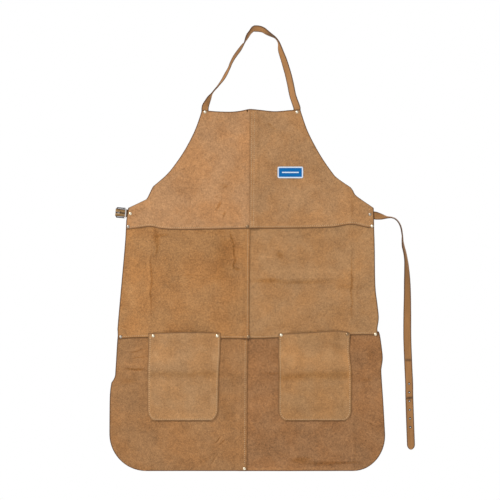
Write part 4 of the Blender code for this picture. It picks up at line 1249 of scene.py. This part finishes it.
def rod(points, radii, sides, closed=False):
    """Points and faces of a rod with a radius across and one front to back at each point, in the tab's frame."""
    verts, path = [], [Vector(p) for p in points]
    for i, centre in enumerate(path):
        before = path[i - 1] if closed or i else centre
        after = path[(i + 1) % len(path)] if closed or i < len(path) - 1 else centre
        along = (after - before).normalized()
        side = along.cross(Vector((0, 1, 0)))
        side = side.normalized() if side.length > 0.2 else along.cross(Vector((0, 0, 1))).normalized()
        out = side.cross(along).normalized()
        wide, deep = radii[i]
        verts += [centre + side * wide * c + out * deep * s for c, s in circle(sides)]
    return verts, tube_faces(len(path), sides, closed)


def metal_piece(name, verts, faces, node, body):
    """A part of the buckle: painted dark all over as a dark reflection, but for a painted highlight along the frame's
    free bar.
    """
    mesh = mesh_from(name, [tab_place(*v) for v in verts], faces)
    wear_and_painted_light = node == "buckle_frame"
    # Painted highlight on the frame's free bar; painted dark reflection everywhere else.
    set_values(mesh, "shade", [0.97 * (1 - wear_and_painted_light * float(ramp(v[0], *HIGHLIGHT_FROM))) for v in verts])
    mesh.shade_smooth()
    mesh.set_sharp_from_angle(angle=math.radians(50))
    declare(new_object(name, mesh, BUCKLE_STEEL), "buckle_metal", body, node)


def buckle():
    """A bent rod: the hinge bar, two bowed sides and a flatter free bar. Then the prong, pointed at its tip."""
    half = BUCKLE_HEIGHT / 2 - BAR_RADIUS
    reach = half - BAR_CORNER
    side = [p[:2] for p in bend([*FRAME_BOW, (FREE_BAR[0] - BAR_CORNER, FREE_BAR[1])], 1.2)]
    turn = [(BAR_CORNER * math.sin(a), BAR_CORNER * (1 - math.cos(a)))
            for a in (math.radians(90 * k / 8) for k in range(9))]
    loop = []
    for sign in (1, -1):
        hinge_end = [(HINGE_BAR[0] + out * 0.62, HINGE_BAR[1] - out * 0.5, sign * (reach + across))
                     for across, out in turn]
        free_end = [(FREE_BAR[0] - out, FREE_BAR[1], sign * (reach + across)) for across, out in turn[::-1]]
        half_loop = hinge_end[:-1] + [(x, y, sign * half) for x, y in side] + free_end[1:]
        loop += half_loop if sign == 1 else half_loop[::-1]
    flat = [(BAR_RADIUS + 0.25 * t, BAR_RADIUS - 0.3 * t) for t in (float(ramp(p[0], -20, -13)) for p in loop)]
    metal_piece("buckle_loop", *rod(loop, flat, 14, closed=True), "buckle_frame", "buckle")

    bar_x, bar_y = HINGE_BAR
    eye = BAR_RADIUS + 0.3 + PRONG_RADIUS
    path, radii = [], []
    for step in range(17):
        angle = math.radians(120 + 15 * step)
        path.append((bar_x + eye * math.sin(angle), bar_y - eye * math.cos(angle), 0.2))
        radii.append((PRONG_RADIUS * 1.2, PRONG_RADIUS * 0.9))
    tongue = bend([path[-1], (bar_x + 5, PRONG_Y, 0.2), (bar_x + 12, PRONG_Y, 0), (PRONG_TIP_X, PRONG_Y, -0.5)], 1.0)
    for left in range(len(tongue) - 2, -1, -1):
        taper = min(1.0, 0.35 + 0.25 * left)
        radii.append((PRONG_RADIUS * 1.1 * taper, PRONG_RADIUS * taper))
    path += [tuple(p) for p in tongue[1:]]
    metal_piece("buckle_tongue", *rod(path, radii, 12), "buckle_prong", "prong")


def buckle_tab():
    """A strip folded round the hinge bar, both plies behind the bib, with a round-ended slot for the prong."""
    bar_x, bar_y = HINGE_BAR
    loop = BAR_RADIUS + 0.3 + THICK / 2
    path = [(TAB_REACH, PITCH), (bar_x + 16, PITCH), (bar_x + 9, PITCH - 0.1), (bar_x + 4, bar_y - loop + 0.5),
            (bar_x + 1, bar_y - loop)]
    for angle in (math.radians(15 * step) for step in range(1, 12)):
        path.append((bar_x - loop * math.sin(angle), bar_y - loop * math.cos(angle)))
    path += [(bar_x + 1, bar_y + loop), (bar_x + 4, bar_y + loop - 0.5), (bar_x + 9, 2 * PITCH + 0.1),
             (bar_x + 16, 2 * PITCH), (TAB_REACH, 2 * PITCH)]
    obj = ribbon("buckle_tab_leather", bend(path, 1.2))
    outline, straight = [], SLOT_HALF_LENGTH - SLOT_HALF_WIDTH
    for centre, start in ((straight, -90), (-straight, 90)):
        for a in (math.radians(start + 22.5 * k) for k in range(9)):
            outline.append((bar_x + 2 + centre + SLOT_HALF_WIDTH * math.cos(a), SLOT_HALF_WIDTH * math.sin(a)))
    cut_away(obj, [outline], (bar_y - 7, bar_y + 7), tab_place)
    declare(obj, "strap_leather", "buckle_tab", "buckle_tab")


def ribbon(name, line):
    """A strip as wide as the tab, along x, y points of the tab's own frame."""
    rings, flat, run = [], [], 0.0
    for i, point in enumerate(line):
        before, after = line[max(i - 1, 0)], line[min(i + 1, len(line) - 1)]
        along = Vector((after[0] - before[0], after[1] - before[1], 0)).normalized()
        out = Vector((along.y, -along.x, 0))
        run += math.dist(before, point)
        rings.append([tab_place(*(Vector((*point, a)) + out * b)) for a, b in strap_profile(TAB_WIDTH)])
        flat += [(a, run) for a, b in strap_profile(TAB_WIDTH)]
    return swept(name, rings, flat, TAB_LEATHER, SIDE)


# ---------------------------------------------------------------- the studio

VIEW_CENTRE = world(0, 0, 552.5)
VIEW_SIZE = 1.25
VIEW_DISTANCE = 8.0
SENSOR = 36.0


def aim(obj, place, target):
    obj.location = place
    obj.rotation_euler = (Vector(target) - Vector(place)).to_track_quat("-Z", "Y").to_euler()


def camera():
    data = bpy.data.cameras.new("camera")
    data.sensor_width = SENSOR
    data.lens = SENSOR * VIEW_DISTANCE / VIEW_SIZE
    obj = new_object("camera", data)
    aim(obj, VIEW_CENTRE - Vector((0, VIEW_DISTANCE, 0)), VIEW_CENTRE)
    bpy.context.scene.camera = obj


def lamp(name, place, size, energy):
    data = bpy.data.lights.new(name, "AREA")
    data.shape, data.size, data.energy = "DISK", size, energy
    aim(new_object(name, data), VIEW_CENTRE + Vector(place), VIEW_CENTRE)


AMBIENT = 0.62
FLOOR_RADIUS, FLOOR_DROP = 3.0, 0.55  # the drop is how far it lies under the hem


def studio():
    """Soft light from all round on a white world, a key light from the upper left, and a pale floor."""
    world_data = bpy.data.worlds.new("studio")
    world_data.use_nodes = True
    tree = world_data.node_tree
    background = tree.nodes["Background"]
    background.inputs["Color"].default_value = (1, 1, 1, 1)
    path = tree.nodes.new("ShaderNodeLightPath")
    strength = tree.nodes.new("ShaderNodeMapRange")
    strength.inputs["To Min"].default_value = AMBIENT
    strength.inputs["To Max"].default_value = 1.0
    tree.links.new(path.outputs["Is Camera Ray"], strength.inputs["Value"])
    tree.links.new(strength.outputs[0], background.inputs["Strength"])
    bpy.context.scene.world = world_data
    bpy.context.scene.view_settings.view_transform = "Standard"
    lamp("key", (-2.2, -2.6, 2.4), 1.2, 95)
    lamp("rim", (1.8, 2.6, 1.6), 1.6, 70)
    mesh = bpy.data.meshes.new("floor")
    mesh.from_pydata([(FLOOR_RADIUS * c, FLOOR_RADIUS * s, 0) for c, s in circle(64)], [], [range(64)])
    n = Nodes("pale_floor")
    clouds = n.noise(n.place(), 3.0, 2.0)
    pale = n.mix(clouds, (0.9, 0.9, 0.9), (0.94, 0.94, 0.93))
    floor = new_object("floor", mesh, n.finish(pale, 0.9, clouds, 0.05, 0.001))
    floor.location = (0, 0, HEM_Z - FLOOR_DROP)


camera()
neck_strap()
waist_strap()
panels()
pockets()
seams()
rivets()
label()
buckle()
buckle_tab()
studio()
